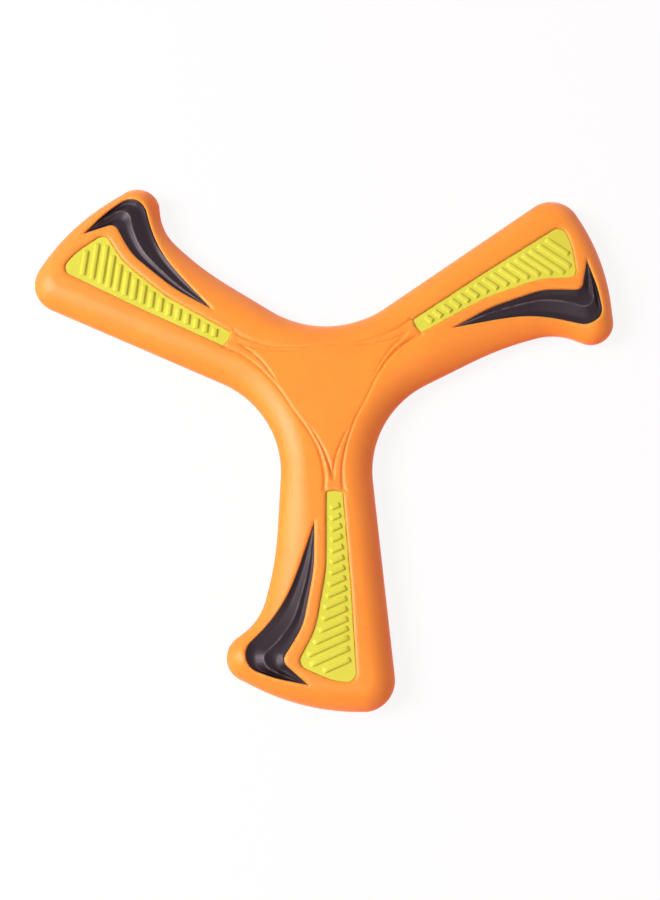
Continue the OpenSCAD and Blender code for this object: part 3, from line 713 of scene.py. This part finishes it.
def body_chains(plan):
    """Rim and inner edge of one blade, point for point: spoke, panel, strap's mouths and fang."""
    rim, panel, fang, n = plan.rim, plan.panel_path, plan.fang_outer, STEPS
    corner_start, corner_end = plan.corner_span
    wide_start, wide_end = plan.wide_span
    tip_run, root_run = plan.fang_tip_run, plan.fang_root_run
    mouth_run = tip_run - plan.fang.strap_w
    lead_run = rim.near(plan.end, 0, rim.length / 2)
    low_run = rim.near(panel.at(plan.root_low), root_run)
    end_run = low_run + plan.panel.root_w / 2
    spoke = Path([(0, 0), plan.end])
    lower = panel.cut(plan.root_low, panel.length, n["root"])
    mouth_low, mouth_tip = panel.at(plan.root_low), panel.at(plan.mouth)
    stretches = [
        (rim.cut(0, lead_run, n["spoke"]), spoke.cut(0, spoke.length, n["spoke"])),
        (rim.cut(lead_run, corner_start, n["lead"]), panel.cut(0, wide_start, n["lead"])),
        (rim.cut(*plan.corner_span, n["corner"]), panel.cut(*plan.wide_span, n["corner"])),
        (rim.cut(corner_end, mouth_run, n["end"]), panel.cut(wide_end, plan.mouth, n["end"])),
        (rim.cut(mouth_run, tip_run, n["strap"]), between(mouth_tip, fang.points[-1], n["strap"])),
        (rim.cut(tip_run, plan.hook, n["tip"]), fang.cut(fang.length, plan.fang_hook, n["tip"])),
        (rim.cut(plan.hook, root_run, n["long"]), fang.cut(plan.fang_hook, 0, n["long"])),
        (rim.cut(root_run, low_run, n["strap"]), between(fang.points[0], mouth_low, n["strap"])),
        (rim.cut(low_run, end_run, n["root"]), lower),
        (rim.cut(end_run, rim.length, n["spoke"]), spoke.cut(spoke.length, 0, n["spoke"])),
    ]
    outer = np.concatenate([a[:-1, :2] for a, _ in stretches] + [stretches[-1][0][-1:, :2]])
    inner = np.concatenate([b[:-1] for _, b in stretches] + [stretches[-1][1][-1:]])
    return outer, inner


def strap_chains(plan):
    """Edges of the strap: along the panel and along the fang, in step."""
    n = STEPS["long"]
    k = STEPS["tip"] // 2
    panel, fang = plan.panel_path, plan.fang_inner
    along = np.concatenate([
        panel.cut(plan.root_low, plan.low_corner, n)[:-1],
        panel.cut(plan.low_corner, plan.mouth, k),
    ])
    beside = np.concatenate([
        fang.cut(0, plan.fang_turn, n)[:-1],
        fang.cut(plan.fang_turn, fang.length, k),
    ])
    return along, beside


def foam_skin(scene, plan):
    """The body: underside, rim, rounded edges, hub, straps and the pockets' walls."""
    s = plan.section
    outer, inner = body_chains(plan)
    along, beside = strap_chains(plan)
    pockets = pocket_loops(inner, along, beside)

    def face(points):
        flat = points.reshape(-1, 2)
        z = plan.top_z(flat) + hub_relief(scene, flat)
        near = np.min([distances(flat, loop)[0] for loop in pockets], axis=0)
        lip = np.clip(1 - near / s.lip_w, 0, 1)
        z -= s.lip_drop * (1 - np.sqrt(1 - lip ** 2))
        return raised(points, z.reshape(points.shape[:-1]))

    skin = Skin()
    reach = np.linalg.norm(inner - outer, axis=1, keepdims=True)
    hub = np.zeros((len(outer), 1))
    hub[:STEPS["spoke"]] = hub[-STEPS["spoke"]:] = 1
    crowd = RIM_CROWD - HUB_EASE * hub
    main = (reach - s.lip_w) / reach * np.linspace(0, 1, STEPS["across"] + 1) ** crowd
    lip = 1 - s.lip_w / reach * (1 - np.sin(quarter(STEPS["lip"])[1:]))
    top = face(ladder(outer, inner, np.concatenate([main, lip], axis=1)))
    top[:, 0, 2] = s.rim_z
    skin.add(top)
    rim_run = np.array([plan.rim.near(p) for p in outer])
    inward = plan.rim.right(rim_run)
    inward[0] = -outer[0] / np.linalg.norm(outer[0])
    inward[-1] = -outer[-1] / np.linalg.norm(outer[-1])
    under = np.stack([
        raised(outer + inward * s.under_round * (1 - math.cos(t)), s.rim_z * (1 - math.sin(t)))
        for t in quarter(STEPS["under"])
    ], axis=1)
    skin.add(under[:, ::-1])
    half = len(outer) // 2
    sole = under[:, -1]
    shares = np.linspace(0, 1, STEPS["sole"] + 1)
    skin.add(ladder(sole[:half + 1], sole[::-1][:half + 1], shares))
    skin.add(face(ladder(along, beside, softened(STEPS["strap"]))))
    for loop, floor in zip(pockets, (plan.top - plan.panel.seat, plan.top - plan.fang.seat)):
        edge = face(loop)
        skin.add(np.stack([edge, raised(loop, floor)], axis=1))
    skin.three_fold()
    return skin


def pocket_loops(inner, along, beside):
    """The panel's and the fang's outlines, as the body's own points."""
    n = STEPS
    first = n["spoke"]
    mouth = first + n["lead"] + n["corner"] + n["end"]
    tip = mouth + n["strap"]
    root = tip + n["tip"] + n["long"]
    low = root + n["strap"]
    end = low + n["root"]
    panel = np.concatenate([inner[first:mouth + 1], along[::-1][1:], inner[low + 1:end + 1]])
    fang = np.concatenate([beside, inner[tip + 1:root + 1]])
    return panel, fang


def inlay_skin(plan, upper, lower, across, face, floor):
    """A closed inlay between two edges that start and end at the same points."""
    skin = Skin()
    grid = ladder(upper, lower, across)
    flat = grid.reshape(-1, 2)
    loop = np.concatenate([upper, lower[::-1][1:]])
    near = distances(flat, loop)[0].reshape(grid.shape[:2])
    edge = np.clip(1 - near / plan.panel.edge_w, 0, 1)
    round_off = plan.panel.edge_w / 2 * (1 - np.sqrt(1 - edge ** 2))
    top = raised(grid, face(grid) - round_off)
    skin.add(top)
    for side in (top[:, 0], top[::-1, -1]):
        skin.add(np.stack([side, raised(side[:, :2], floor)], axis=1))
    return skin


def drawn_in(upper, lower, gap):
    """The two edges of an inlay, moved inwards by the seam's width."""
    loop = np.concatenate([upper, lower[::-1][1:-1]])
    ahead, behind = np.roll(loop, -1, axis=0), np.roll(loop, 1, axis=0)
    d = ahead - behind
    d /= np.linalg.norm(d, axis=1, keepdims=True)
    loop = loop + gap * np.stack([d[:, 1], -d[:, 0]], axis=1)
    n = len(upper)
    return loop[:n], np.concatenate([loop[:1], loop[n - 1:][::-1]])


# The panel's uneven edge: the draws of its two sides, the points that are averaged, the still ends
UPPER_SEED, LOWER_SEED = 1, 2
WANDER_WINDOW = 7
WANDER_ENDS = 4


def panel_edges(plan):
    """Upper and lower edge of the panel from its narrow end to the strap's mouth."""
    panel = plan.panel_path
    upper = panel.cut(0, plan.mouth, PANEL_ROWS)
    lower = panel.cut(panel.length, plan.mouth, PANEL_ROWS)
    upper, lower = drawn_in(upper, lower, plan.panel.fit)
    amount = plan.panel.wander
    return uneven(upper, amount, UPPER_SEED), uneven(lower, amount, LOWER_SEED)


def uneven(line, amount, seed):
    """A line that wanders sideways a little, as a cut edge does; its ends stay."""
    window = np.hanning(WANDER_WINDOW)
    draws = np.random.default_rng(seed).normal(size=len(line))
    wander = np.convolve(draws, window / window.sum(), mode="same")
    wander[:WANDER_ENDS] = wander[-WANDER_ENDS:] = 0
    path = Path(line)
    return path.at(path.run) + path.right(path.run) * amount * wander[:, None]


def panel_skin(plan, upper, lower):
    """The panel between its two edges, below the foam round it."""
    def face(grid):
        return plan.top_z(grid) - plan.panel.recess

    floor = plan.top - plan.panel.seat
    return inlay_skin(plan, upper, lower, softened(PANEL_COLS), face, floor)


# The fang's form: where its crest bends and its inner channel deepens, as shares of the way to the
# hook, how its columns crowd to the crest, and the curves of the channels' walls and of the crest
CREST_STILL, CREST_BENT = 0.4, 0.72
DEEPENING = 0.8
CREST_CROWD = 0.85
WALL_CURVE = 1.6
CREST_CURVE = 1.4


def fang_skin(plan):
    """The fang with a sharp crest between two channels, and the line of its crest."""
    f = plan.fang
    outer, inner = plan.fang_outer, plan.fang_inner
    t = np.linspace(0, 1, FANG_ROWS + 1)
    at_hook = f.fan_place
    fan = [0, at_hook - f.fan_share / 2, at_hook, at_hook + f.fan_share / 2, 1]
    turn, hook = plan.fang_turn, plan.fang_hook
    inner_runs = [0, turn - f.fan_inner, turn, turn + f.fan_inner, inner.length]
    outer_runs = [0, hook - f.fan_outer, hook, hook + f.fan_outer, outer.length]
    upper = inner.at(smooth_values(t, fan, inner_runs))
    lower = outer.at(smooth_values(t, fan, outer_runs))
    upper, lower = drawn_in(upper, lower, plan.panel.fit)

    def along(shares, values):
        """Values for each row, which run smoothly through those at the given shares."""
        return smooth_values(t, shares, values)[:, None]

    crest = along(
        [0, CREST_STILL * at_hook, CREST_BENT * at_hook, at_hook, 1],
        [f.crest_root, f.crest_root, f.crest_neck, f.crest_hook, f.crest_tip])
    inner_floor = along([0, at_hook, 1], [f.inner_floor, f.inner_floor, f.tip_floor])
    inner_depth = along(
        [0, DEEPENING * at_hook, at_hook, 1], [f.inner_depth, f.inner_depth, f.depth, f.depth])
    u = softened(FANG_COLS) ** CREST_CROWD
    across = np.concatenate([crest * u, 1 - (1 - crest) * u[::-1][1:]], axis=1)
    up = np.broadcast_to(np.concatenate([u, u[::-1][1:]]), across.shape)
    inside = np.arange(across.shape[1]) < FANG_COLS
    bottom = np.where(inside, inner_floor, f.outer_floor)
    depth = np.where(inside, inner_depth, f.depth)
    full = np.clip(np.linalg.norm(lower - upper, axis=1)[:, None] / f.full_w, 0, 1)
    wall = depth * (1 - np.clip(1 - up / bottom, 0, 1) ** WALL_CURVE)
    climb = np.clip((up - bottom) / (1 - bottom), 0, 1) ** CREST_CURVE
    rise = (depth - f.depth + f.crest) * climb

    def face(grid):
        return plan.top_z(grid) - f.recess - full * (wall - rise)

    skin = inlay_skin(plan, upper, lower, across, face, plan.top - f.seat)
    return skin, upper + (lower - upper) * crest


def mark_painted_highlight(data, line, width):
    """How much painted highlight each point of a fang takes, by its distance from the crest's line.
    """
    points = np.empty(len(data.vertices) * 3)
    data.vertices.foreach_get("co", points)
    near = distances(points.reshape(-1, 3)[:, :2], line)[0]
    glint = np.exp(-(near / width) ** 2).astype(np.float32)
    data.attributes.new(CREST_PAINTED_HIGHLIGHT, "FLOAT", "POINT").data.foreach_set("value", glint)


# Nodes

def feed(tree, node, inputs):
    """Give a node's inputs, by name or number, plain values or the outputs of other nodes."""
    for key, value in inputs.items():
        if isinstance(value, bpy.types.NodeSocket):
            tree.links.new(value, node.inputs[key])
        else:
            node.inputs[key].default_value = value


def new_node(tree, kind, inputs=None, output=0, **settings):
    """One output of a new node with the given settings and inputs."""
    node = tree.nodes.new(kind)
    for key, value in settings.items():
        setattr(node, key, value)
    feed(tree, node, inputs or {})
    return node.outputs[output]


def worked_out(tree, operation, a, b=0.0):
    """The result of a calculation with numbers or outputs."""
    return new_node(tree, "ShaderNodeMath", {0: a, 1: b}, operation=operation)


def mixture(tree, share_of_b, a, b):
    """A colour between two colours or outputs."""
    inputs = {"Factor": share_of_b, "A": a, "B": b}
    return new_node(tree, "ShaderNodeMix", inputs, "Result", data_type="RGBA")


# Materials

# Levels of the skins' patterns: where noise turns into another colour, where the painted highlight
# along a fang's crest breaks up and how little of it stays, and where the fine grain starts and
# ends
PATCH_LEVELS = (0.35, 0.65)
GLINT_LEVELS = (0.35, 0.6)
GLINT_LEAST = 0.25
GLINT_PATCH = 1 / 8
GRAIN_LEVELS = (0.3, 0.7)
GLOSS_SPREAD = 0.06

# Pinholes: cells below this lot have none, then their colour, how much of it shows, and their depth
PINHOLE_LOT = 0.65
PINHOLE_TONE = 0.25
PINHOLE_SHOW = 0.55
PINHOLE_DEPTH = 2.0
BUMP_STRENGTH = 0.35
BUMP_HEIGHT = 0.1 * MM
SHEEN_ROUGHNESS = 0.5
PLAIN_SHINE = (1, 1, 1)


def foam_material(name, light, deep, finish, roughness, specular, grain_depth,
                  soft=0.0, sheen=0.0, highlit=None, shine=PLAIN_SHINE):
    """Moulded foam: patches of colour, fine grain, sparse pinholes, a painted crest highlight if
    asked.
    """
    material = bpy.data.materials.new(name)
    material.use_nodes = True
    tree = material.node_tree
    new, calculate, mixed = (partial(make, tree) for make in (new_node, worked_out, mixture))
    coords = new("ShaderNodeTexCoord", output="Object")

    def noise(feature, detail):
        inputs = {"Scale": 1 / feature, "Detail": detail, "Vector": coords}
        return new("ShaderNodeTexNoise", inputs, "Fac")

    def spread(value, levels, results):
        return new("ShaderNodeMapRange", dict(enumerate((value, *levels, *results))), "Result")

    patches = spread(noise(finish.patch, 3), PATCH_LEVELS, (0, 1))
    skin_colour = mixed(patches, (*light, 1), (*deep, 1))
    # Painted highlight: a paler colour along the fang's crest, where its sharp edge catches light
    if highlit:
        glint = new("ShaderNodeAttribute", output="Fac", attribute_name=CREST_PAINTED_HIGHLIGHT)
        broken = spread(noise(finish.patch * GLINT_PATCH, 4), GLINT_LEVELS, (GLINT_LEAST, 1))
        skin_colour = mixed(calculate("MULTIPLY", glint, broken), skin_colour, (*highlit, 1))

    inputs = {"Scale": 1 / finish.pinhole_gap, "Vector": coords}
    cells = new("ShaderNodeTexVoronoi", inputs).node.outputs
    lot = new("ShaderNodeSeparateColor", {"Color": cells["Color"]}, "Red")
    hole_size = finish.pinhole_w / finish.pinhole_gap
    pit = spread(cells["Distance"], (hole_size / 2, hole_size), (1, 0))
    pit = calculate("MULTIPLY", pit, calculate("GREATER_THAN", lot, PINHOLE_LOT))
    shown = calculate("MULTIPLY", pit, PINHOLE_SHOW)
    base = mixed(shown, skin_colour, (*[c * PINHOLE_TONE for c in deep], 1))

    grain = noise(finish.grain, 4)
    gloss = spread(grain, GRAIN_LEVELS, (roughness - GLOSS_SPREAD, roughness + GLOSS_SPREAD))
    hills = calculate("MULTIPLY", grain, grain_depth)
    height = calculate("SUBTRACT", hills, calculate("MULTIPLY", pit, PINHOLE_DEPTH))
    inputs = {"Strength": BUMP_STRENGTH, "Distance": BUMP_HEIGHT, "Height": height}
    feed(tree, tree.nodes["Principled BSDF"], {
        "Base Color": base,
        "Roughness": gloss,
        "Normal": new("ShaderNodeBump", inputs, "Normal"),
        "Specular IOR Level": specular,
        "Specular Tint": (*shine, 1),
        "Subsurface Weight": soft,
        "Subsurface Radius": finish.scatter_tone,
        "Subsurface Scale": finish.scatter,
        "Sheen Weight": sheen,
        "Sheen Tint": (*finish.sheen_tint, 1),
        "Sheen Roughness": SHEEN_ROUGHNESS,
    })
    return material


def orange_skin(finish):
    """The body's foam, which lets a little light in and has a pale sheen."""
    return foam_material(
        "orange_skin", finish.orange, finish.orange_deep, finish,
        roughness=0.5, specular=0.65, grain_depth=0.5, soft=0.7, sheen=0.7)


def yellow_skin(finish):
    """The panels' foam."""
    return foam_material(
        "yellow_skin", finish.yellow, finish.yellow_deep, finish,
        roughness=0.55, specular=0.3, grain_depth=0.5)


def black_skin(finish):
    """The fangs' foam, glossier, with a highlight painted along the crest."""
    return foam_material(
        "black_skin", finish.black, finish.black_deep, finish,
        roughness=0.4, specular=0.33, grain_depth=1.5, highlit=finish.highlit,
        shine=finish.black_shine)


# Ribs

# What the ribs' node group is given
RIB_INPUTS = {
    "Guide": "Geometry", "Pitch": "Float", "Width": "Float", "Rise": "Float", "Root": "Float",
    "Turn": "Float", "Panel": "Object", "Material": "Material"
}

# A rib's blank, the fall of its rounded top to its sides and ends, and how deep it is rooted
RIB_BLANK = {"Vertices X": 11, "Vertices Y": 25, "Vertices Z": 2}
SIDE_FALL, END_FALL = 4.0, 12.0
RIB_ROOT = 1 / 4

# Height above the panel from which a rib is let down onto it
LET_DOWN = 0.5

# Places along the panel at which a rib's length is taken, and the slanted line it is taken on
GUIDE_SPOTS = 60
GUIDE_REACH = 30 * MM
GUIDE_STEPS = 601


def rib_tree():
    """Node group: slanted ribs along a guide line, laid on a panel's face."""
    tree = bpy.data.node_groups.new("grip_ribs", "GeometryNodeTree")
    for name, kind in RIB_INPUTS.items():
        tree.interface.new_socket(name, in_out="INPUT", socket_type=f"NodeSocket{kind}")
    tree.interface.new_socket("Ribs", in_out="OUTPUT", socket_type="NodeSocketGeometry")
    new, calculate = (partial(make, tree) for make in (new_node, worked_out))
    given = new("NodeGroupInput").node.outputs
    here = new("GeometryNodeInputPosition")
    where = new("ShaderNodeSeparateXYZ", {0: here}).node.outputs

    line = new("GeometryNodeMeshToCurve", {"Mesh": given["Guide"]})
    inputs = {"Curve": line, "Length": given["Pitch"]}
    spots = new("GeometryNodeCurveToPoints", inputs, mode="LENGTH")

    def hump(axis, fall):
        """1 along the middle of the blank, falling to 0 at its two sides."""
        out = calculate("ABSOLUTE", calculate("MULTIPLY", where[axis], 2.0))
        return calculate("SUBTRACT", 1.0, calculate("POWER", out, fall))

    full = calculate("MULTIPLY", hump("X", SIDE_FALL), hump("Y", END_FALL))
    crown = calculate("MULTIPLY", full, calculate("ADD", given["Rise"], given["Root"]))
    over = calculate("GREATER_THAN", where["Z"], 0.0)
    height = calculate("SUBTRACT", calculate("MULTIPLY", crown, over), given["Root"])
    below = calculate("MULTIPLY", calculate("SUBTRACT", 1.0, over), given["Root"])
    sunk = calculate("SUBTRACT", height, below)
    blank = new("GeometryNodeMeshCube", {"Size": (1, 1, 1), **RIB_BLANK})
    lift = new("ShaderNodeCombineXYZ", {"X": where["X"], "Y": where["Y"], "Z": sunk})
    pillow = new("GeometryNodeSetPosition", {"Geometry": blank, "Position": lift})

    turn = new("ShaderNodeCombineXYZ", {"Z": given["Turn"]})
    inputs = {"Name": RIB_LENGTH}
    length = new("GeometryNodeInputNamedAttribute", inputs, "Attribute", data_type="FLOAT")
    copies = new("GeometryNodeInstanceOnPoints", {
        "Points": spots,
        "Instance": pillow,
        "Rotation": new("FunctionNodeEulerToRotation", {0: turn}),
        "Scale": new("ShaderNodeCombineXYZ", {"X": given["Width"], "Y": length, "Z": 1.0}),
    })
    real = new("GeometryNodeRealizeInstances", {"Geometry": copies})

    inputs = {"Object": given["Panel"]}
    panel = new("GeometryNodeObjectInfo", inputs, "Geometry", transform_space="RELATIVE")
    above = new("ShaderNodeVectorMath", {0: here, 1: (0, 0, LET_DOWN)}, operation="ADD")
    ground = new("GeometryNodeRaycast", {
        "Target Geometry": panel,
        "Source Position": above,
        "Ray Direction": (0, 0, -1),
        "Ray Length": 2 * LET_DOWN,
    }, "Hit Position", mapping="INTERPOLATED")
    ground_z = new("ShaderNodeSeparateXYZ", {0: ground}, "Z")
    offset = new("ShaderNodeCombineXYZ", {"Z": ground_z})
    laid = new("GeometryNodeSetPosition", {"Geometry": real, "Offset": offset})
    smooth = new("GeometryNodeSetShadeSmooth", {"Geometry": laid})
    done = new("GeometryNodeSetMaterial", {"Geometry": smooth, "Material": given["Material"]})
    feed(tree, tree.nodes.new("NodeGroupOutput"), {"Ribs": done})
    return tree


def rib_guide(plan, upper, lower):
    """Middles of the slanted ribs along the panel, with the rib's length at each of them."""
    p = plan.panel
    edge = np.concatenate([upper, lower[::-1][1:]])
    slant = np.array([-math.sin(p.rib_lean), math.cos(p.rib_lean)])
    reach = np.linspace(-GUIDE_REACH, GUIDE_REACH, GUIDE_STEPS)
    starts = np.linspace(p.start + p.rib_ends, upper[:, 0].max() - p.rib_ends, GUIDE_SPOTS)
    middles, lengths = [], []
    for x in starts:
        line = np.array([x, plan.low + p.root_w / 2]) + reach[:, None] * slant
        held = reach[enclosed(line, edge) & (distances(line, edge)[0] > p.rib_border)]
        middles.append(line[0] + (held.mean() - reach[0]) * slant)
        lengths.append(held.max() - held.min())
    return np.array(middles), np.array(lengths)


# Operators

class BOOMERANG_OT_foam_body(bpy.types.Operator):
    """Make the foam body with its pillowed edges, hub lines and pockets."""

    bl_idname = "boomerang.foam_body"
    bl_label = "Foam Body"

    def execute(self, context):
        scene = context.scene
        plan = BladePlan(scene)
        data = foam_skin(scene, plan).mesh("foam_body_skin")
        material = orange_skin(scene.boomerang_finish)
        piece = place("foam_skin", data, material, "orange_foam", "foam_body")
        return {"FINISHED"}


class BOOMERANG_OT_grip_panels(bpy.types.Operator):
    """Make the yellow panel of each blade with its slanted ribs."""

    bl_idname = "boomerang.grip_panels"
    bl_label = "Grip Panels"

    def execute(self, context):
        scene = context.scene
        plan = BladePlan(scene)
        upper, lower = panel_edges(plan)
        middles, lengths = rib_guide(plan, upper, lower)
        material = yellow_skin(scene.boomerang_finish)
        tree = rib_tree()
        for name, angle in BLADE_TURNS.items():
            skin = panel_skin(plan, upper, lower)
            skin.turn(angle)
            data = skin.mesh(f"{name}_grip")
            piece = place(f"{name}_grip", data, material, "yellow_foam", f"{name}_panel")
            self.add_ribs(plan, tree, name, angle, piece, material, middles, lengths)
        return {"FINISHED"}

    def add_ribs(self, plan, tree, name, angle, panel, material, middles, lengths):
        """The ribs of one panel, made by the node group along a guide line."""
        p = plan.panel
        guide = bpy.data.meshes.new(f"{name}_rib_guide")
        points = raised(turned(middles, angle), 0.0)
        guide.from_pydata(points.tolist(), [(k, k + 1) for k in range(len(points) - 1)], [])
        length_values = guide.attributes.new(RIB_LENGTH, "FLOAT", "POINT").data
        length_values.foreach_set("value", lengths.astype(np.float32))
        line = bpy.data.objects.new(f"{name}_rib_guide", guide)
        bpy.context.scene.collection.objects.link(line)
        ribs = line.modifiers.new("Ribs", "NODES")
        ribs.node_group = tree
        values = {
            "Pitch": p.rib_pitch, "Width": p.rib_w, "Rise": p.rib_rise,
            "Root": p.rib_rise * RIB_ROOT, "Turn": angle + p.rib_lean,
            "Panel": panel, "Material": material
        }
        for socket in tree.interface.items_tree:
            if socket.in_out == "INPUT" and socket.name in values:
                ribs[socket.identifier] = values[socket.name]
        graph = bpy.context.evaluated_depsgraph_get()
        data = bpy.data.meshes.new_from_object(line.evaluated_get(graph))
        bpy.data.objects.remove(line)
        if not data.polygons:
            raise RuntimeError(f"{name} ribs came out empty")
        data.name = f"{name}_ribs"
        place(f"{name}_ribs", data, material, "yellow_foam")


class BOOMERANG_OT_fangs(bpy.types.Operator):
    """Make the black sculpted fang of each blade."""

    bl_idname = "boomerang.fangs"
    bl_label = "Fang Inlays"

    def execute(self, context):
        scene = context.scene
        plan = BladePlan(scene)
        material = black_skin(scene.boomerang_finish)
        for name, angle in BLADE_TURNS.items():
            skin, crest = fang_skin(plan)
            skin.turn(angle)
            data = skin.mesh(f"{name}_horn")
            # Paints a highlight along the crest into the fang's colour
            mark_painted_highlight(data, turned(crest, angle), plan.fang.highlight_w)
            place(f"{name}_horn", data, material, "black_foam", f"{name}_fang")
        return {"FINISHED"}


class BOOMERANG_OT_stage(bpy.types.Operator):
    """Set up the white floor, the soft lamps and the camera."""

    bl_idname = "boomerang.stage"
    bl_label = "Stage"

    def execute(self, context):
        scene = context.scene
        stage = scene.boomerang_stage
        scene.view_settings.view_transform = "Standard"
        self.add_floor(scene, stage)
        self.add_world(scene, stage)
        self.add_lamp(scene, "key", stage.key_place, stage.key_w, stage.key_power)
        self.add_lamp(scene, "fill", stage.fill_place, stage.fill_w, stage.fill_power)
        self.add_camera(scene, stage)
        return {"FINISHED"}

    def add_floor(self, scene, stage):
        """A floor that is seen as white with a faint shadow and lights the rims from below."""
        half = stage.floor_w / 2
        corners = [(-half, -half), (half, -half), (half, half), (-half, half)]
        data = bpy.data.meshes.new("floor")
        data.from_pydata([(x, y, -stage.floor_drop) for x, y in corners], [], [(0, 1, 2, 3)])
        floor = bpy.data.objects.new("floor", data)
        scene.collection.objects.link(floor)
        material = bpy.data.materials.new("white_floor")
        material.use_nodes = True
        tree = material.node_tree
        rays = self.seen_rays(tree)
        paint = tree.nodes["Principled BSDF"]
        tone = mixture(tree, rays, (*stage.floor_bounce, 1), (*stage.floor_white, 1))
        feed(tree, paint, {"Roughness": 1, "Base Color": tone})
        glow = new_node(tree, "ShaderNodeEmission")
        seen = worked_out(tree, "MULTIPLY", rays, 1 - stage.floor_shadow)
        mix = new_node(tree, "ShaderNodeMixShader", {0: seen, 1: paint.outputs[0], 2: glow})
        feed(tree, tree.nodes["Material Output"], {"Surface": mix})
        data.materials.append(material)

    def add_world(self, scene, stage):
        """Surroundings that are seen as white and light the object evenly."""
        world = scene.world or bpy.data.worlds.new("studio")
        scene.world = world
        world.use_nodes = True
        tree = world.node_tree
        seen = self.seen_rays(tree)
        levels = {"Value": seen, "To Min": stage.sky, "To Max": 1}
        feed(tree, tree.nodes["Background"], {
            "Color": mixture(tree, seen, (*stage.sky_tone, 1), (1, 1, 1, 1)),
            "Strength": new_node(tree, "ShaderNodeMapRange", levels, "Result"),
        })

    def seen_rays(self, tree):
        """1 for rays from the camera, and for those that come by gloss or through glass."""
        path = new_node(tree, "ShaderNodeLightPath").node.outputs
        seen = path["Is Camera Ray"]
        for name in ("Is Glossy Ray", "Is Transmission Ray"):
            seen = worked_out(tree, "MAXIMUM", seen, path[name])
        return seen

    def add_lamp(self, scene, name, location, width, power):
        """A round soft lamp that points at the hub."""
        lamp = bpy.data.lights.new(name, "AREA")
        lamp.shape = "DISK"
        lamp.size = width
        lamp.energy = power
        thing = bpy.data.objects.new(name, lamp)
        thing.location = location
        x, y, z = -np.array(location)
        tilt = math.acos(-z / math.hypot(x, y, z))
        thing.rotation_euler = (tilt, 0, math.atan2(y, x) - math.pi / 2)
        scene.collection.objects.link(thing)

    def add_camera(self, scene, stage):
        """The camera by its place, tilt and focal length."""
        data = bpy.data.cameras.new("camera")
        data.sensor_fit = "VERTICAL"
        data.sensor_height = stage.sensor
        data.lens = stage.focal_px / PHOTO_HEIGHT_PX * stage.sensor
        camera = bpy.data.objects.new("camera", data)
        camera.location = stage.camera_place
        camera.rotation_euler = (stage.camera_tilt, 0, 0)
        scene.collection.objects.link(camera)
        scene.camera = camera


OPERATORS = (
    BOOMERANG_OT_foam_body,
    BOOMERANG_OT_grip_panels,
    BOOMERANG_OT_fangs,
    BOOMERANG_OT_stage,
)


class BOOMERANG_PT_parts(bpy.types.Panel):
    """Lists the boomerang's pieces in the order of making."""

    bl_idname = "BOOMERANG_PT_parts"
    bl_label = "Boomerang"
    bl_space_type = "VIEW_3D"
    bl_region_type = "UI"
    bl_category = "Boomerang"

    def draw(self, context):
        for operator in OPERATORS:
            self.layout.operator(operator.bl_idname)
        for name in SETTINGS:
            group = getattr(context.scene, name)
            column = self.layout.column(heading=name)
            for key in group.__annotations__:
                column.prop(group, key)


CLASSES = (*SETTINGS.values(), *OPERATORS, BOOMERANG_PT_parts)


def register():
    for cls in CLASSES:
        bpy.utils.register_class(cls)
    for name, cls in SETTINGS.items():
        setattr(bpy.types.Scene, name, PointerProperty(type=cls))


def unregister():
    for name in SETTINGS:
        delattr(bpy.types.Scene, name)
    for cls in reversed(CLASSES):
        bpy.utils.unregister_class(cls)


def main():
    register()
    bpy.ops.boomerang.foam_body()
    bpy.ops.boomerang.grip_panels()
    bpy.ops.boomerang.fangs()
    bpy.ops.boomerang.stage()
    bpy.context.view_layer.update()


if __name__ == "__main__":
    main()
